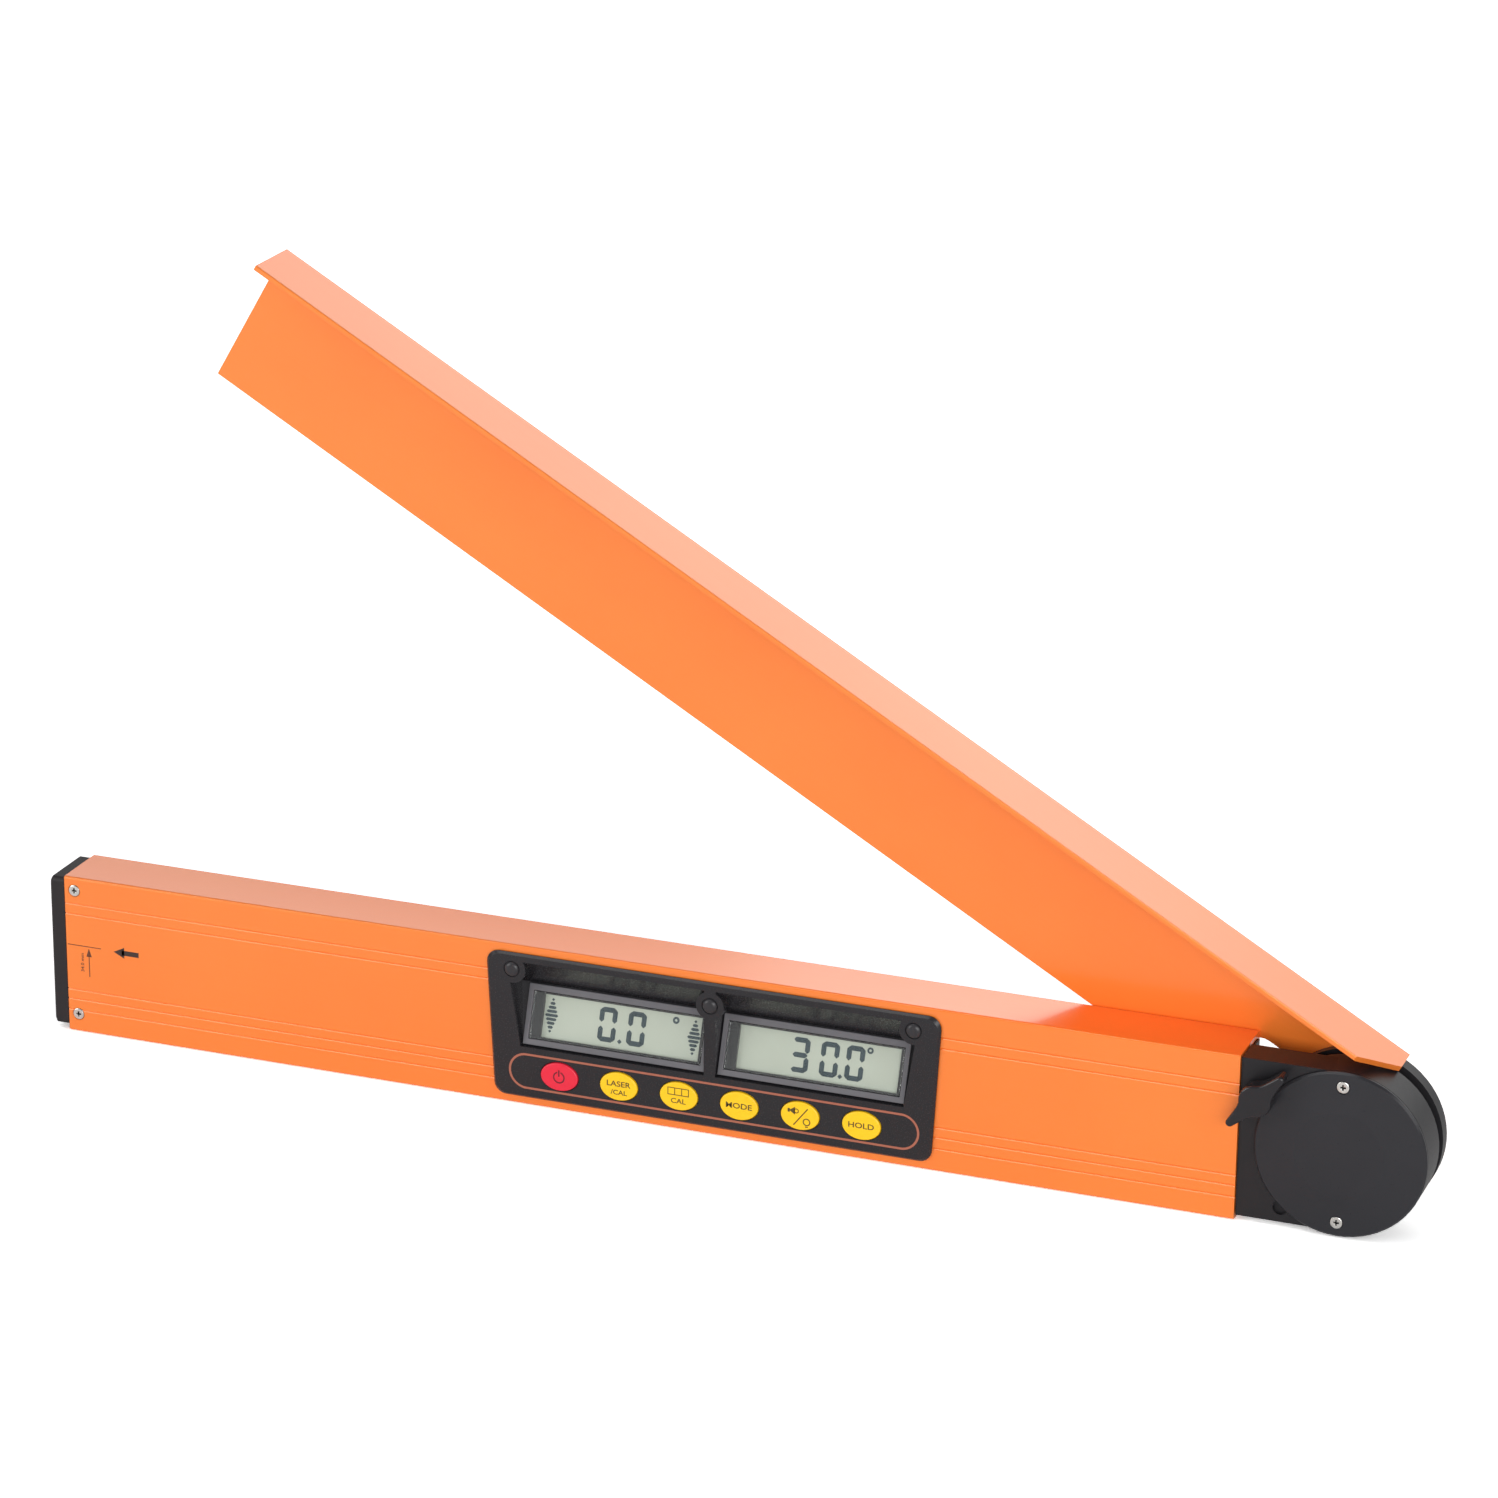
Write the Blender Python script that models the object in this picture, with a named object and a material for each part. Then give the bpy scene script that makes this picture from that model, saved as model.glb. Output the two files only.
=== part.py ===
"""Electronic angle finder: a box-section base with displays, keys and an end laser,
and an angle-section arm that turns on a drum hinge at the base's right end.

Metres, +Z up. The origin is the middle of the base's bottom measuring face. The base
lies along X, its front faces -Y, and the arm stands open by ARM_ANGLE.
"""

import math

import bmesh
import bpy
from mathutils import Vector

# Clearance between pieces that touch, and how far a cutter runs past what it cuts.
SEAT_GAP = 0.0003
OVERRUN = 0.002

# Base profile, an extruded box section.
BASE_LENGTH = 0.439
BASE_HEIGHT = 0.060
BASE_DEPTH = 0.024
BASE_WALL = 0.002
BASE_EDGE_RADIUS = 0.001
GROOVE_WIDTH = 0.0008
GROOVE_DEPTH = 0.0004
GROOVE_HEIGHT_SHARES = (0.140, 0.210, 0.272, 0.762, 0.828)

# End cap at the left end, with a plug that fills the profile's mouth.
CAP_THICKNESS = 0.0058
CAP_PLUG_LENGTH = 0.014
CAP_TOP_INSET = 0.0010
CAP_BOTTOM_INSET = 0.0018
CAP_FACE_INSET = 0.0002
CAP_CORNER_RADIUS = 0.0018
CAP_BEVEL = 0.0008

# Countersunk screws of the end cap, the hinge cover, the housing and the arm.
SCREW_HEAD_RADIUS = 0.0026
SMALL_HEAD_RADIUS = 0.0021
SCREW_HEAD_DEPTH = 0.0013
SCREW_SHANK_RADIUS = 0.0013
SCREW_SOCKET_RADIUS = 0.0009
SCREW_SOCKET_DEPTH = 0.0008
SCREW_SINK = 0.0001
END_SCREW_LENGTH = 0.0075
END_SCREW_FROM_END = 0.0038
END_SCREW_FOOT = 0.0068
END_SCREW_TOP_INSET = 0.0052

# Line laser in the end cap.
LASER_HEIGHT = 0.034
LASER_RADIUS = 0.0045
LASER_LENGTH = 0.022
LASER_LIP = 0.0010
LASER_APERTURE_RADIUS = 0.0020
LASER_WINDOW_RADIUS = 0.0029
LASER_WINDOW_THICKNESS = 0.0010
LASER_WINDOW_RECESS = 0.0006

# Battery compartment in the back of the profile, with two AA cells lying along it.
BATTERY_RADIUS = 0.0071
BATTERY_LENGTH = 0.0495
BATTERY_NUB_RADIUS = 0.0027
BATTERY_NUB_LENGTH = 0.0010
BATTERY_PLACE_SHARE = 0.205
CONTACT_THICKNESS = 0.0006
CONTACT_BOSS_RADIUS = 0.0030
CONTACT_TIP_RADIUS = 0.0012
CONTACT_BOSS_HEIGHT = 0.0012
CONTACT_DEPTH = 0.0100
TRAY_WALL = 0.0024
TRAY_FLOOR = 0.0012
TRAY_LEDGE = 0.0012
DOOR_THICKNESS = 0.0014
DOOR_SINK = 0.0001
DOOR_NOTCH_RADIUS = 0.0050
DOOR_NOTCH_DEPTH = 0.0006

# Display bezel on the front.
BEZEL_PLACE_SHARE = 0.57016
BEZEL_TOP_INSET = 0.0026
BEZEL_FOOT_INSET = 0.0032
BEZEL_TOP_WIDTH = 0.1685
BEZEL_TAPER = 0.0059
BEZEL_PROUD = 0.0015
BEZEL_EDGE_BEVEL = 0.0008
BEZEL_CORNER_RADIUS = 0.0045
BEZEL_LAND = 0.0015
BEZEL_WALL = 0.0015

# Sloping display bays: the floor sinks into the base towards its top.
BAY_TILT = 19.0
BAY_FOOT_SHARE = 0.37667
BAY_HEAD = 0.0029
BAY_FOOT_DEPTH = 0.0010
BAY_SLOPE_SHARE = 0.6959
BAY_INNER_OFFSET = 0.0021
BAY_SIDE_INSET = 0.0101
BAY_OUTER_SPREAD = 0.0050
BAY_FLOOR_THICKNESS = 0.0015
FRAME_SLACK = 0.0006
FRAME_FOOT = 0.0002
FRAME_RISE = 0.0014
FRAME_SIDE = 0.0018
FRAME_SILL = 0.0021
FRAME_HEAD = 0.0023
WINDOW_RISE = 0.0011
APERTURE_SIDES = 0.0091
APERTURE_RIMS = 0.0062
APERTURE_FOOT = 0.0032
APERTURE_SHIFT = 0.0012
DISPLAY_MARGIN = 0.0022
DISPLAY_THICKNESS = 0.0020
DISPLAY_REAR_SPACE = 0.00014

# Domed plugs in the bezel's posts.
POST_RADIUS = 0.0052
POST_SIDE_INSET = 0.00995
POST_DROP = 0.0031
MIDDLE_POST_GAP = 0.0001
PLUG_RADIUS = 0.0027
PLUG_SINK = 0.0005
PLUG_DOME = 0.0010
PLUG_DOME_STEPS = 4
PLUG_SHANK_RADIUS = 0.0012
PLUG_SHANK_LENGTH = 0.0030

# Keys, in a row below the displays.
KEY_NAMES = ("power_key", "laser_key", "calibrate_key", "mode_key", "sound_key", "hold_key")
KEY_WIDTH = 0.0141
KEY_SIDE_INSET = 0.02505
KEY_HEAD_SPACE = 0.00235
KEY_FOOT_SPACE = 0.00135
KEY_PROUD = 0.0007
KEY_BEVEL = 0.0003
KEY_WALL = 0.0024
KEY_FLANGE = 0.0006
KEY_FLANGE_THICKNESS = 0.0008
KEY_STEM_LENGTH = 0.0026
KEY_STEM_INSET = 0.0030
KEY_TRAVEL = 0.0007
KEY_WELL_MARGIN = 0.0010
SWITCH_SIDE = 0.0060

# Main board behind the bezel, with the tilt sensor and the buzzer on its back.
BOARD_SIDE_INSET = 0.00625
BOARD_EDGE_INSET = 0.0060
BOARD_THICKNESS = 0.0016
BOARD_SCREW_RADIUS = 0.0009
BOARD_SCREW_HEAD_RADIUS = 0.0018
BOARD_SCREW_HEAD_HEIGHT = 0.0012
BOARD_SCREW_LENGTH = 0.0048
BOARD_SCREW_TOP_SIDE = 0.0180
BOARD_SCREW_TOP_DROP = 0.0045
BOARD_SCREW_FOOT_SIDE = 0.0065
BOARD_SCREW_FOOT_RISE = 0.0060
CHIP_SIDE = 0.0120
CHIP_HEIGHT = 0.0020
SENSOR_SIDE = 0.0090
SENSOR_HEIGHT = 0.0035
SENSOR_OFFSET = 0.0350
BUZZER_RADIUS = 0.0080
BUZZER_HEIGHT = 0.0030

# Leads and the ribbon cable.
LEAD_RADIUS = 0.0008
LEAD_OVERLAP = 0.0060
LEAD_FRONT_SPACE = 0.0016
BATTERY_LEAD_DROP = 0.0080
RIBBON_WIDTH = 0.0110
RIBBON_THICKNESS = 0.0006
RIBBON_SLOT_GAP = 0.0006
RIBBON_TAIL = 0.0060
SWEEP_STEPS = 12

# Hinge housing: a block with a drum, and an insert that fills the profile's mouth.
PIVOT_REACH = 0.0355
DRUM_INSET = 0.0003
DRUM_BACK = 0.016
DRUM_WALL = 0.0032
DRUM_FLOOR = 0.0035
HOUSING_INSET = 0.0010
BLOCK_BACK = 0.013
BLOCK_TOP_INSET = 0.0008
BLOCK_FOOT_INSET = 0.0016
BLOCK_RELIEF = 0.0090
INSERT_LENGTH = 0.024
INSERT_REACH = 0.0007
HOUSING_SCREW_FROM_END = 0.012
HOUSING_SCREW_SPREAD = 0.030
HOUSING_SCREW_LENGTH = 0.0080
DIMPLE_RADIUS = 0.0026
DIMPLE_DEPTH = 0.0015
DIMPLE_REACH = 0.0156
DIMPLE_HEIGHT = 0.0068

# Hinge cover on the drum.
COVER_PROUD = 0.0016
COVER_BEVEL = 0.0007
COVER_FALL = 0.0010
COVER_FIELD_RADIUS = 0.0155
COVER_SCREW_INSET = 0.0052
COVER_SCREW_LENGTH = 0.0080
COVER_BOSS_RADIUS = 0.0028

# Encoder in the drum.
ENCODER_BOARD_DEPTH = 0.0032
ENCODER_BOARD_THICKNESS = 0.0016
ENCODER_LEDGE = 0.0025
ENCODER_CHIP_SIDE = 0.0060
ENCODER_CHIP_HEIGHT = 0.0025
ENCODER_CHIP_SPACE = 0.0030
CODE_DISC_SPACE = 0.0037
CODE_DISC_THICKNESS = 0.0012
CODE_DISC_HUB_RADIUS = 0.0065
CODE_DISC_HUB_LENGTH = 0.0007

# Pivot shaft, nut, bush and friction washer.
SHAFT_RADIUS = 0.0040
SHAFT_FRONT_SPACE = 0.0010
SHAFT_HEAD_RADIUS = 0.0090
SHAFT_HEAD_THICKNESS = 0.0020
SHAFT_HEAD_SINK = 0.0003
NUT_RADIUS = 0.0070
NUT_THICKNESS = 0.0026
BUSH_RADIUS = 0.0060
BUSH_FLANGE_RADIUS = 0.0080
BUSH_FLANGE_THICKNESS = 0.0009
WASHER_INSET = 0.0015
WASHER_THICKNESS = 0.0008

# Hub disc on the arm's side of the hinge, and the brake ring on its front.
HUB_INSET = 0.0002
HUB_THICKNESS = 0.0055
BRAKE_RING_INSET = 0.0043

# Arm, an extruded angle section. Reaches run along the arm from the pivot.
ARM_ANGLE = 30.0
ARM_REACH = 0.4722
ARM_START = 0.0005
FLANGE_WIDTH = 0.025
FLANGE_THICKNESS = 0.002
FLANGE_CLEARANCE = 0.0004
WEB_THICKNESS = 0.002
WEB_FOOT_INSET = 0.0080
WEB_CLEARANCE = 0.0005
WEB_START = 0.0095
CHAMFER_LENGTH = 0.0148
CHAMFER_DEPTH = 0.0135
NOTCH_REACH = 0.0470
NOTCH_RADIUS = 0.0060
TONGUE_REACH_SHARE = 0.4
TONGUE_LOW_SHARE = 0.22
TONGUE_HEAD_INSET = 0.0038
TONGUE_RADIUS = 0.0030
ARM_SCREW_LENGTH = 0.0043
ARM_SCREW_INNER_SHARE = 0.52
ARM_SCREW_OUTER_SHARE = 0.72
ARM_SCREW_EDGE = 0.0042
ARM_EDGE_RADIUS = 0.0005
WEB_STUB = 0.0002
CHAMFER_OVERRUN_SHARE = 0.2

# Lock lever on the block, and its spindle with a cam that bears on the brake ring.
# A flank point is (distance along the wing, half of its width there).
LEVER_REACH = 0.0074
LEVER_TOP_INSET = 0.0125
LEVER_CLEARANCE = 0.0004
LEVER_DEPTH = 0.0060
LEVER_BEVEL = 0.0005
LEVER_MIDDLE_RADIUS = 0.00575
LEVER_SHOULDER = 36.0
LEVER_FLANKS = ((0.0061, 0.0027), (0.0086, 0.0021))
LEVER_TIP_RADIUS = 0.0014
LEVER_TIP_REACH = 0.0122
LEVER_TIP_TURN = 80.0
LEVER_TILT = 47.0
LEVER_BORE_DEPTH = 0.0030
SPINDLE_RADIUS = 0.0026
CAM_RADIUS = 0.0052

# Facets of round pieces.
DRUM_SIDES = 64
ROUND_SIDES = 32
SCREW_SIDES = 16
CORNER_STEPS = 5
EDGE_STEPS = 2
NUT_SIDES = 6

# Places that follow from the sizes above.
LEFT = -BASE_LENGTH / 2
RIGHT = BASE_LENGTH / 2
FRONT = -BASE_DEPTH / 2
BACK = BASE_DEPTH / 2
MIDDLE_HEIGHT = BASE_HEIGHT / 2
PIVOT = Vector((RIGHT + PIVOT_REACH, 0.0, MIDDLE_HEIGHT))
CAP_BACK = LEFT - SEAT_GAP
CAP_FACE = CAP_BACK - CAP_THICKNESS
BEZEL_X = LEFT + BEZEL_PLACE_SHARE * BASE_LENGTH
BEZEL_FACE = FRONT - BEZEL_PROUD
BEZEL_FOOT_WIDTH = BEZEL_TOP_WIDTH - BEZEL_TAPER
BEZEL_TOP = BASE_HEIGHT - BEZEL_TOP_INSET
INSERT_FOOT = BEZEL_FOOT_INSET + BEZEL_LAND
BAY_FOOT_HEIGHT = BAY_FOOT_SHARE * BASE_HEIGHT
BAY_TOP_HEIGHT = BEZEL_TOP - BAY_HEAD
BAY_SLOPE = BAY_SLOPE_SHARE * (BAY_TOP_HEIGHT - BAY_FOOT_HEIGHT)
BAY_OUTER_OFFSET = BEZEL_FOOT_WIDTH / 2 - BAY_SIDE_INSET
FRAME_WIDTH = BAY_OUTER_OFFSET - BAY_INNER_OFFSET - 2 * SEAT_GAP
FRAME_HEIGHT = BAY_SLOPE - FRAME_SLACK
APERTURE_WIDTH = FRAME_WIDTH - APERTURE_SIDES
APERTURE_HEIGHT = FRAME_HEIGHT - APERTURE_RIMS
POST_OFFSET = BEZEL_TOP_WIDTH / 2 - POST_SIDE_INSET
POST_HEIGHT = BAY_TOP_HEIGHT - POST_DROP
WELL_LOW = INSERT_FOOT + BEZEL_WALL
WELL_HIGH = BAY_FOOT_HEIGHT - KEY_WELL_MARGIN
KEY_HEIGHT = WELL_HIGH - WELL_LOW - 2 * KEY_FLANGE - KEY_FOOT_SPACE - KEY_HEAD_SPACE
KEY_ROW_HEIGHT = WELL_LOW + KEY_FOOT_SPACE + KEY_FLANGE + KEY_HEIGHT / 2
KEY_PITCH = (BEZEL_FOOT_WIDTH - 2 * KEY_SIDE_INSET) / (len(KEY_NAMES) - 1)
BOARD_WIDTH = BEZEL_TOP_WIDTH - 2 * BOARD_SIDE_INSET
BOARD_HEIGHT = BASE_HEIGHT - 2 * BOARD_EDGE_INSET
DISPLAY_REACH = APERTURE_FOOT + APERTURE_HEIGHT + DISPLAY_MARGIN
DISPLAY_SINK = BAY_FLOOR_THICKNESS + SEAT_GAP + DISPLAY_THICKNESS
DISPLAY_REAR = DISPLAY_REACH * math.sin(math.radians(BAY_TILT))
DISPLAY_REAR += FRONT + BAY_FOOT_DEPTH + DISPLAY_SINK * math.cos(math.radians(BAY_TILT))
INSERT_BACK = DISPLAY_REAR + DISPLAY_REAR_SPACE
BOARD_FRONT = INSERT_BACK + SEAT_GAP
BOARD_BACK = BOARD_FRONT + BOARD_THICKNESS
DRUM_RADIUS = BASE_HEIGHT / 2 - DRUM_INSET
COVER_SCREW_CIRCLE = DRUM_RADIUS - COVER_SCREW_INSET
CODE_DISC_RADIUS = COVER_SCREW_CIRCLE - COVER_BOSS_RADIUS - CODE_DISC_SPACE
HUB_RADIUS = BASE_HEIGHT / 2 - HUB_INSET
BRAKE_RING_RADIUS = HUB_RADIUS - BRAKE_RING_INSET
WASHER_RADIUS = BRAKE_RING_RADIUS - WASHER_INSET
TONGUE_REACH = TONGUE_REACH_SHARE * HUB_RADIUS
TONGUE_LOW = TONGUE_LOW_SHARE * HUB_RADIUS
TONGUE_HIGH = HUB_RADIUS - TONGUE_HEAD_INSET
WEB_FRONT = BACK + WEB_CLEARANCE
WEB_BACK = WEB_FRONT + WEB_THICKNESS
HUB_FRONT = WEB_BACK - HUB_THICKNESS
FLANGE_UNDER = MIDDLE_HEIGHT + FLANGE_CLEARANCE
FLANGE_OUTER = FLANGE_UNDER + FLANGE_THICKNESS
FLANGE_FRONT = WEB_BACK - FLANGE_WIDTH
WEB_FOOT = WEB_FOOT_INSET - MIDDLE_HEIGHT
DRUM_REAR = FRONT + DRUM_BACK
DRUM_FLOOR_FRONT = DRUM_REAR - DRUM_FLOOR
HOUSING_FACE = FRONT + HOUSING_INSET
COVER_FACE = FRONT - COVER_PROUD
COVER_BACK = HOUSING_FACE - SEAT_GAP
BRAKE_RING_FRONT = DRUM_REAR + WASHER_THICKNESS + 2 * SEAT_GAP
ENCODER_FRONT = FRONT + ENCODER_BOARD_DEPTH
ENCODER_BACK = ENCODER_FRONT + ENCODER_BOARD_THICKNESS

X_AXIS = Vector((1.0, 0.0, 0.0))
Y_AXIS = Vector((0.0, 1.0, 0.0))
Z_AXIS = Vector((0.0, 0.0, 1.0))


def clear_scene():
    """Remove every object that the file opened with."""
    for thing in list(bpy.data.objects):
        bpy.data.objects.remove(thing, do_unlink=True)


def paint(name, colour, roughness, metallic=0.0):
    """A plain material with the piece's colour and finish."""
    material = bpy.data.materials.new(name)
    material.use_nodes = True
    shader = material.node_tree.nodes["Principled BSDF"]
    shader.inputs["Base Color"].default_value = (*colour, 1.0)
    shader.inputs["Roughness"].default_value = roughness
    shader.inputs["Metallic"].default_value = metallic
    return material


def add(name, bm, material, parent=None, tool=False):
    """Turn a bmesh into a named object; a tool is a hidden cutter."""
    bmesh.ops.recalc_face_normals(bm, faces=bm.faces)
    mesh = bpy.data.meshes.new(name)
    bm.to_mesh(mesh)
    bm.free()
    thing = bpy.data.objects.new(name, mesh)
    bpy.context.scene.collection.objects.link(thing)
    if material:
        mesh.materials.append(material)
    thing.parent = parent
    if tool:
        thing.hide_render = True
        thing.display_type = "WIRE"
    return thing


def shell(rings, closed=False):
    """A bmesh skinned over rings of points; open ends are capped."""
    bm = bmesh.new()
    rows = [[bm.verts.new(point) for point in ring] for ring in rings]
    count = len(rows[0])
    last = len(rows) if closed else len(rows) - 1
    for index in range(last):
        low = rows[index]
        high = rows[(index + 1) % len(rows)]
        for side in range(count):
            after = (side + 1) % count
            bm.faces.new((low[side], low[after], high[after], high[side]))
    if not closed:
        bm.faces.new(rows[0])
        bm.faces.new(rows[-1])
    return bm


def lift(outline, along, level):
    """Place a flat outline at a level on an axis."""
    if along == "X":
        return [Vector((level, a, b)) for a, b in outline]
    if along == "Y":
        return [Vector((a, level, b)) for a, b in outline]
    return [Vector((a, b, level)) for a, b in outline]


def prism(outline, along, low, high):
    """An outline pushed from one level to another along an axis."""
    return shell([lift(outline, along, low), lift(outline, along, high)])


def block(low, high):
    """A box between two corners."""
    outline = [(low[0], low[1]), (high[0], low[1]), (high[0], high[1]), (low[0], high[1])]
    return prism(outline, "Z", low[2], high[2])


def circle(radius, sides, centre=(0.0, 0.0)):
    """A round outline."""
    steps = [2 * math.pi * index / sides for index in range(sides)]
    return [(centre[0] + radius * math.cos(a), centre[1] + radius * math.sin(a)) for a in steps]


def ellipse(half_width, half_height, sides):
    """An oval outline."""
    steps = [2 * math.pi * index / sides for index in range(sides)]
    return [(half_width * math.cos(a), half_height * math.sin(a)) for a in steps]


def rectangle(width, height, centre=(0.0, 0.0)):
    """A rectangular outline."""
    corners = ((-1, -1), (1, -1), (1, 1), (-1, 1))
    return [(centre[0] + width / 2 * a, centre[1] + height / 2 * b) for a, b in corners]


def rounded(points, radius, steps=CORNER_STEPS):
    """Round every corner of an outline with an arc."""
    result = []
    for index, point in enumerate(points):
        corner = Vector(point)
        before = (Vector(points[index - 1]) - corner).normalized()
        after = (Vector(points[(index + 1) % len(points)]) - corner).normalized()
        half = before.angle(after) / 2
        middle = corner + (before + after).normalized() * (radius / math.sin(half))
        start = corner + before * (radius / math.tan(half)) - middle
        sweep = start.angle_signed(corner + after * (radius / math.tan(half)) - middle)
        for step in range(steps + 1):
            turn = -sweep * step / steps
            cosine = math.cos(turn)
            sine = math.sin(turn)
            result.append((middle.x + start.x * cosine - start.y * sine,
                           middle.y + start.x * sine + start.y * cosine))
    return result


def turned(stations, origin, direction, sides=ROUND_SIDES, closed=False):
    """A turned shape: stations are (radius, distance along the direction)."""
    if abs(direction.y) > abs(direction.x):
        across = X_AXIS
    else:
        across = Y_AXIS
    up = Z_AXIS
    rings = []
    for radius, distance in stations:
        centre = origin + direction * distance
        rings.append([centre + across * a + up * b for a, b in circle(radius, sides)])
    return shell(rings, closed)


def combine(target, tool, operation):
    """Cut a tool out of a piece, or join it on."""
    modifier = target.modifiers.new(tool.name, "BOOLEAN")
    modifier.operation = operation
    modifier.solver = "EXACT"
    modifier.object = tool


def cut(target, name, bm):
    """Cut a hidden shape out of a piece."""
    tool = add(name, bm, None, target.parent, tool=True)
    combine(target, tool, "DIFFERENCE")
    return tool


def join(target, name, bm):
    """Join a hidden shape onto a piece."""
    tool = add(name, bm, None, target.parent, tool=True)
    combine(target, tool, "UNION")
    return tool


def smooth(thing):
    """Shade a round piece smooth, with its sharp edges kept."""
    thing.data.shade_smooth()
    thing.data.set_sharp_from_angle(angle=math.radians(30))


def screw(name, head, direction, length, head_radius, parent=None):
    """A countersunk screw with a socket in its head."""
    stations = (
        (SCREW_SOCKET_RADIUS, SCREW_SOCKET_DEPTH),
        (SCREW_SOCKET_RADIUS, 0.0),
        (head_radius, 0.0),
        (SCREW_SHANK_RADIUS, SCREW_HEAD_DEPTH),
        (SCREW_SHANK_RADIUS, length),
    )
    thing = add(name, turned(stations, head, direction, SCREW_SIDES), STEEL, parent)
    smooth(thing)
    return thing


def screw_hole(head, direction, length, head_radius):
    """The countersunk hole that leaves clearance round such a screw."""
    mouth = head_radius + SEAT_GAP
    shank = SCREW_SHANK_RADIUS + SEAT_GAP
    stations = (
        (mouth, -OVERRUN),
        (mouth, 0.0),
        (shank, SCREW_HEAD_DEPTH),
        (shank, length + SEAT_GAP),
    )
    return turned(stations, head, direction, SCREW_SIDES)


clear_scene()

ORANGE = paint("orange_anodised_aluminium", (1.0, 0.27, 0.06), 0.35, 0.3)
BLACK = paint("black_abs", (0.025, 0.024, 0.026), 0.45)
STEEL = paint("zinc_plated_steel", (0.75, 0.74, 0.70), 0.3, 1.0)
BRASS = paint("brass", (0.75, 0.55, 0.22), 0.3, 1.0)
GLASS = paint("clear_acrylic", (0.85, 0.88, 0.86), 0.05)
DISPLAY = paint("display_glass", (0.60, 0.64, 0.56), 0.2)
RED = paint("red_silicone", (0.75, 0.03, 0.07), 0.5)
YELLOW = paint("yellow_silicone", (0.90, 0.55, 0.02), 0.5)
BOARD = paint("green_circuit_board", (0.03, 0.18, 0.07), 0.5)
BRONZE = paint("sintered_bronze", (0.45, 0.28, 0.12), 0.5, 1.0)
CELL = paint("battery_sleeve", (0.10, 0.12, 0.16), 0.4)
WIRE = paint("wire_insulation", (0.45, 0.04, 0.03), 0.5)
FIBRE = paint("fibre_washer", (0.12, 0.10, 0.08), 0.7)


def arc(centre, radius, start, end, steps=CORNER_STEPS):
    """Points along an arc, between two angles in degrees."""
    points = []
    for step in range(steps + 1):
        turn = math.radians(start + (end - start) * step / steps)
        points.append((centre[0] + radius * math.cos(turn), centre[1] + radius * math.sin(turn)))
    return points


def profile_outline():
    """The base's outer section in Y and Z, with rounded edges and grooved faces."""
    radius = BASE_EDGE_RADIUS
    half = GROOVE_WIDTH / 2
    top = BASE_HEIGHT - radius
    heights = [share * BASE_HEIGHT for share in GROOVE_HEIGHT_SHARES]
    outline = arc((FRONT + radius, radius), radius, 180, 270)
    outline += arc((BACK - radius, radius), radius, 270, 360)
    for height in heights:
        outline.append((BACK, height - half))
        outline.append((BACK - GROOVE_DEPTH, height))
        outline.append((BACK, height + half))
    outline += arc((BACK - radius, top), radius, 0, 90)
    outline += arc((FRONT + radius, top), radius, 90, 180)
    for height in reversed(heights):
        outline.append((FRONT, height + half))
        outline.append((FRONT + GROOVE_DEPTH, height))
        outline.append((FRONT, height - half))
    return outline


def panel_outline(inset, radius):
    """The bezel's outline in X and Z: its top is wider than its foot."""
    top = BEZEL_TOP_WIDTH / 2 - inset
    foot = BEZEL_FOOT_WIDTH / 2 - inset
    low = BEZEL_FOOT_INSET + inset
    high = BEZEL_TOP - inset
    corners = [
        (BEZEL_X - foot, low),
        (BEZEL_X + foot, low),
        (BEZEL_X + top, high),
        (BEZEL_X - top, high),
    ]
    return rounded(corners, radius)


def slope_point(x, along, rise):
    """A point over the sloping bay floor: along its slope, and a rise out of it."""
    tilt = math.radians(BAY_TILT)
    y = FRONT + BAY_FOOT_DEPTH + along * math.sin(tilt) - rise * math.cos(tilt)
    z = BAY_FOOT_HEIGHT + along * math.cos(tilt) + rise * math.sin(tilt)
    return Vector((x, y, z))


def slope_block(centre, width, foot, height, low, high):
    """A box that lies on the sloping bay floor."""
    rings = []
    for rise in (low, high):
        corners = ((-1, foot), (1, foot), (1, foot + height), (-1, foot + height))
        rings.append([slope_point(centre + side * width / 2, along, rise) for side, along in corners])
    return shell(rings)


def sweep(points, section):
    """A section carried along a path that stays at one height."""
    rings = []
    for index, point in enumerate(points):
        before = points[max(index - 1, 0)]
        after = points[min(index + 1, len(points) - 1)]
        across = (after - before).normalized().cross(Z_AXIS)
        rings.append([point + across * a + Z_AXIS * b for a, b in section])
    return shell(rings)


def swerve(start, end, first, second, height):
    """A path along X that eases from one depth to another."""
    points = []
    for step in range(SWEEP_STEPS + 1):
        share = step / SWEEP_STEPS
        ease = (1 - math.cos(math.pi * share)) / 2
        points.append(Vector((start + (end - start) * share, first + (second - first) * ease, height)))
    return points


# Base profile: its bore, the openings for the bezel and the battery tray, and its screw holes.
base = add("base_profile", prism(profile_outline(), "X", LEFT, RIGHT), ORANGE)
bore = block(
    (LEFT - OVERRUN, FRONT + BASE_WALL, BASE_WALL),
    (RIGHT + OVERRUN, BACK - BASE_WALL, BASE_HEIGHT - BASE_WALL),
)
cut(base, "profile_bore", bore)
opening = panel_outline(BEZEL_LAND - SEAT_GAP, BEZEL_CORNER_RADIUS)
cut(base, "panel_opening", prism(opening, "Y", FRONT - OVERRUN, FRONT + BASE_WALL + OVERRUN))

# End cap and its plug, with the stepped bore of the laser.


def cap_outline(inset):
    """The end cap's outline in Y and Z."""
    width = BASE_DEPTH - 2 * CAP_FACE_INSET - 2 * inset
    height = BASE_HEIGHT - CAP_TOP_INSET - CAP_BOTTOM_INSET - 2 * inset
    middle = (BASE_HEIGHT - CAP_TOP_INSET + CAP_BOTTOM_INSET) / 2
    return rounded(rectangle(width, height, (0.0, middle)), CAP_CORNER_RADIUS)


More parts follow.
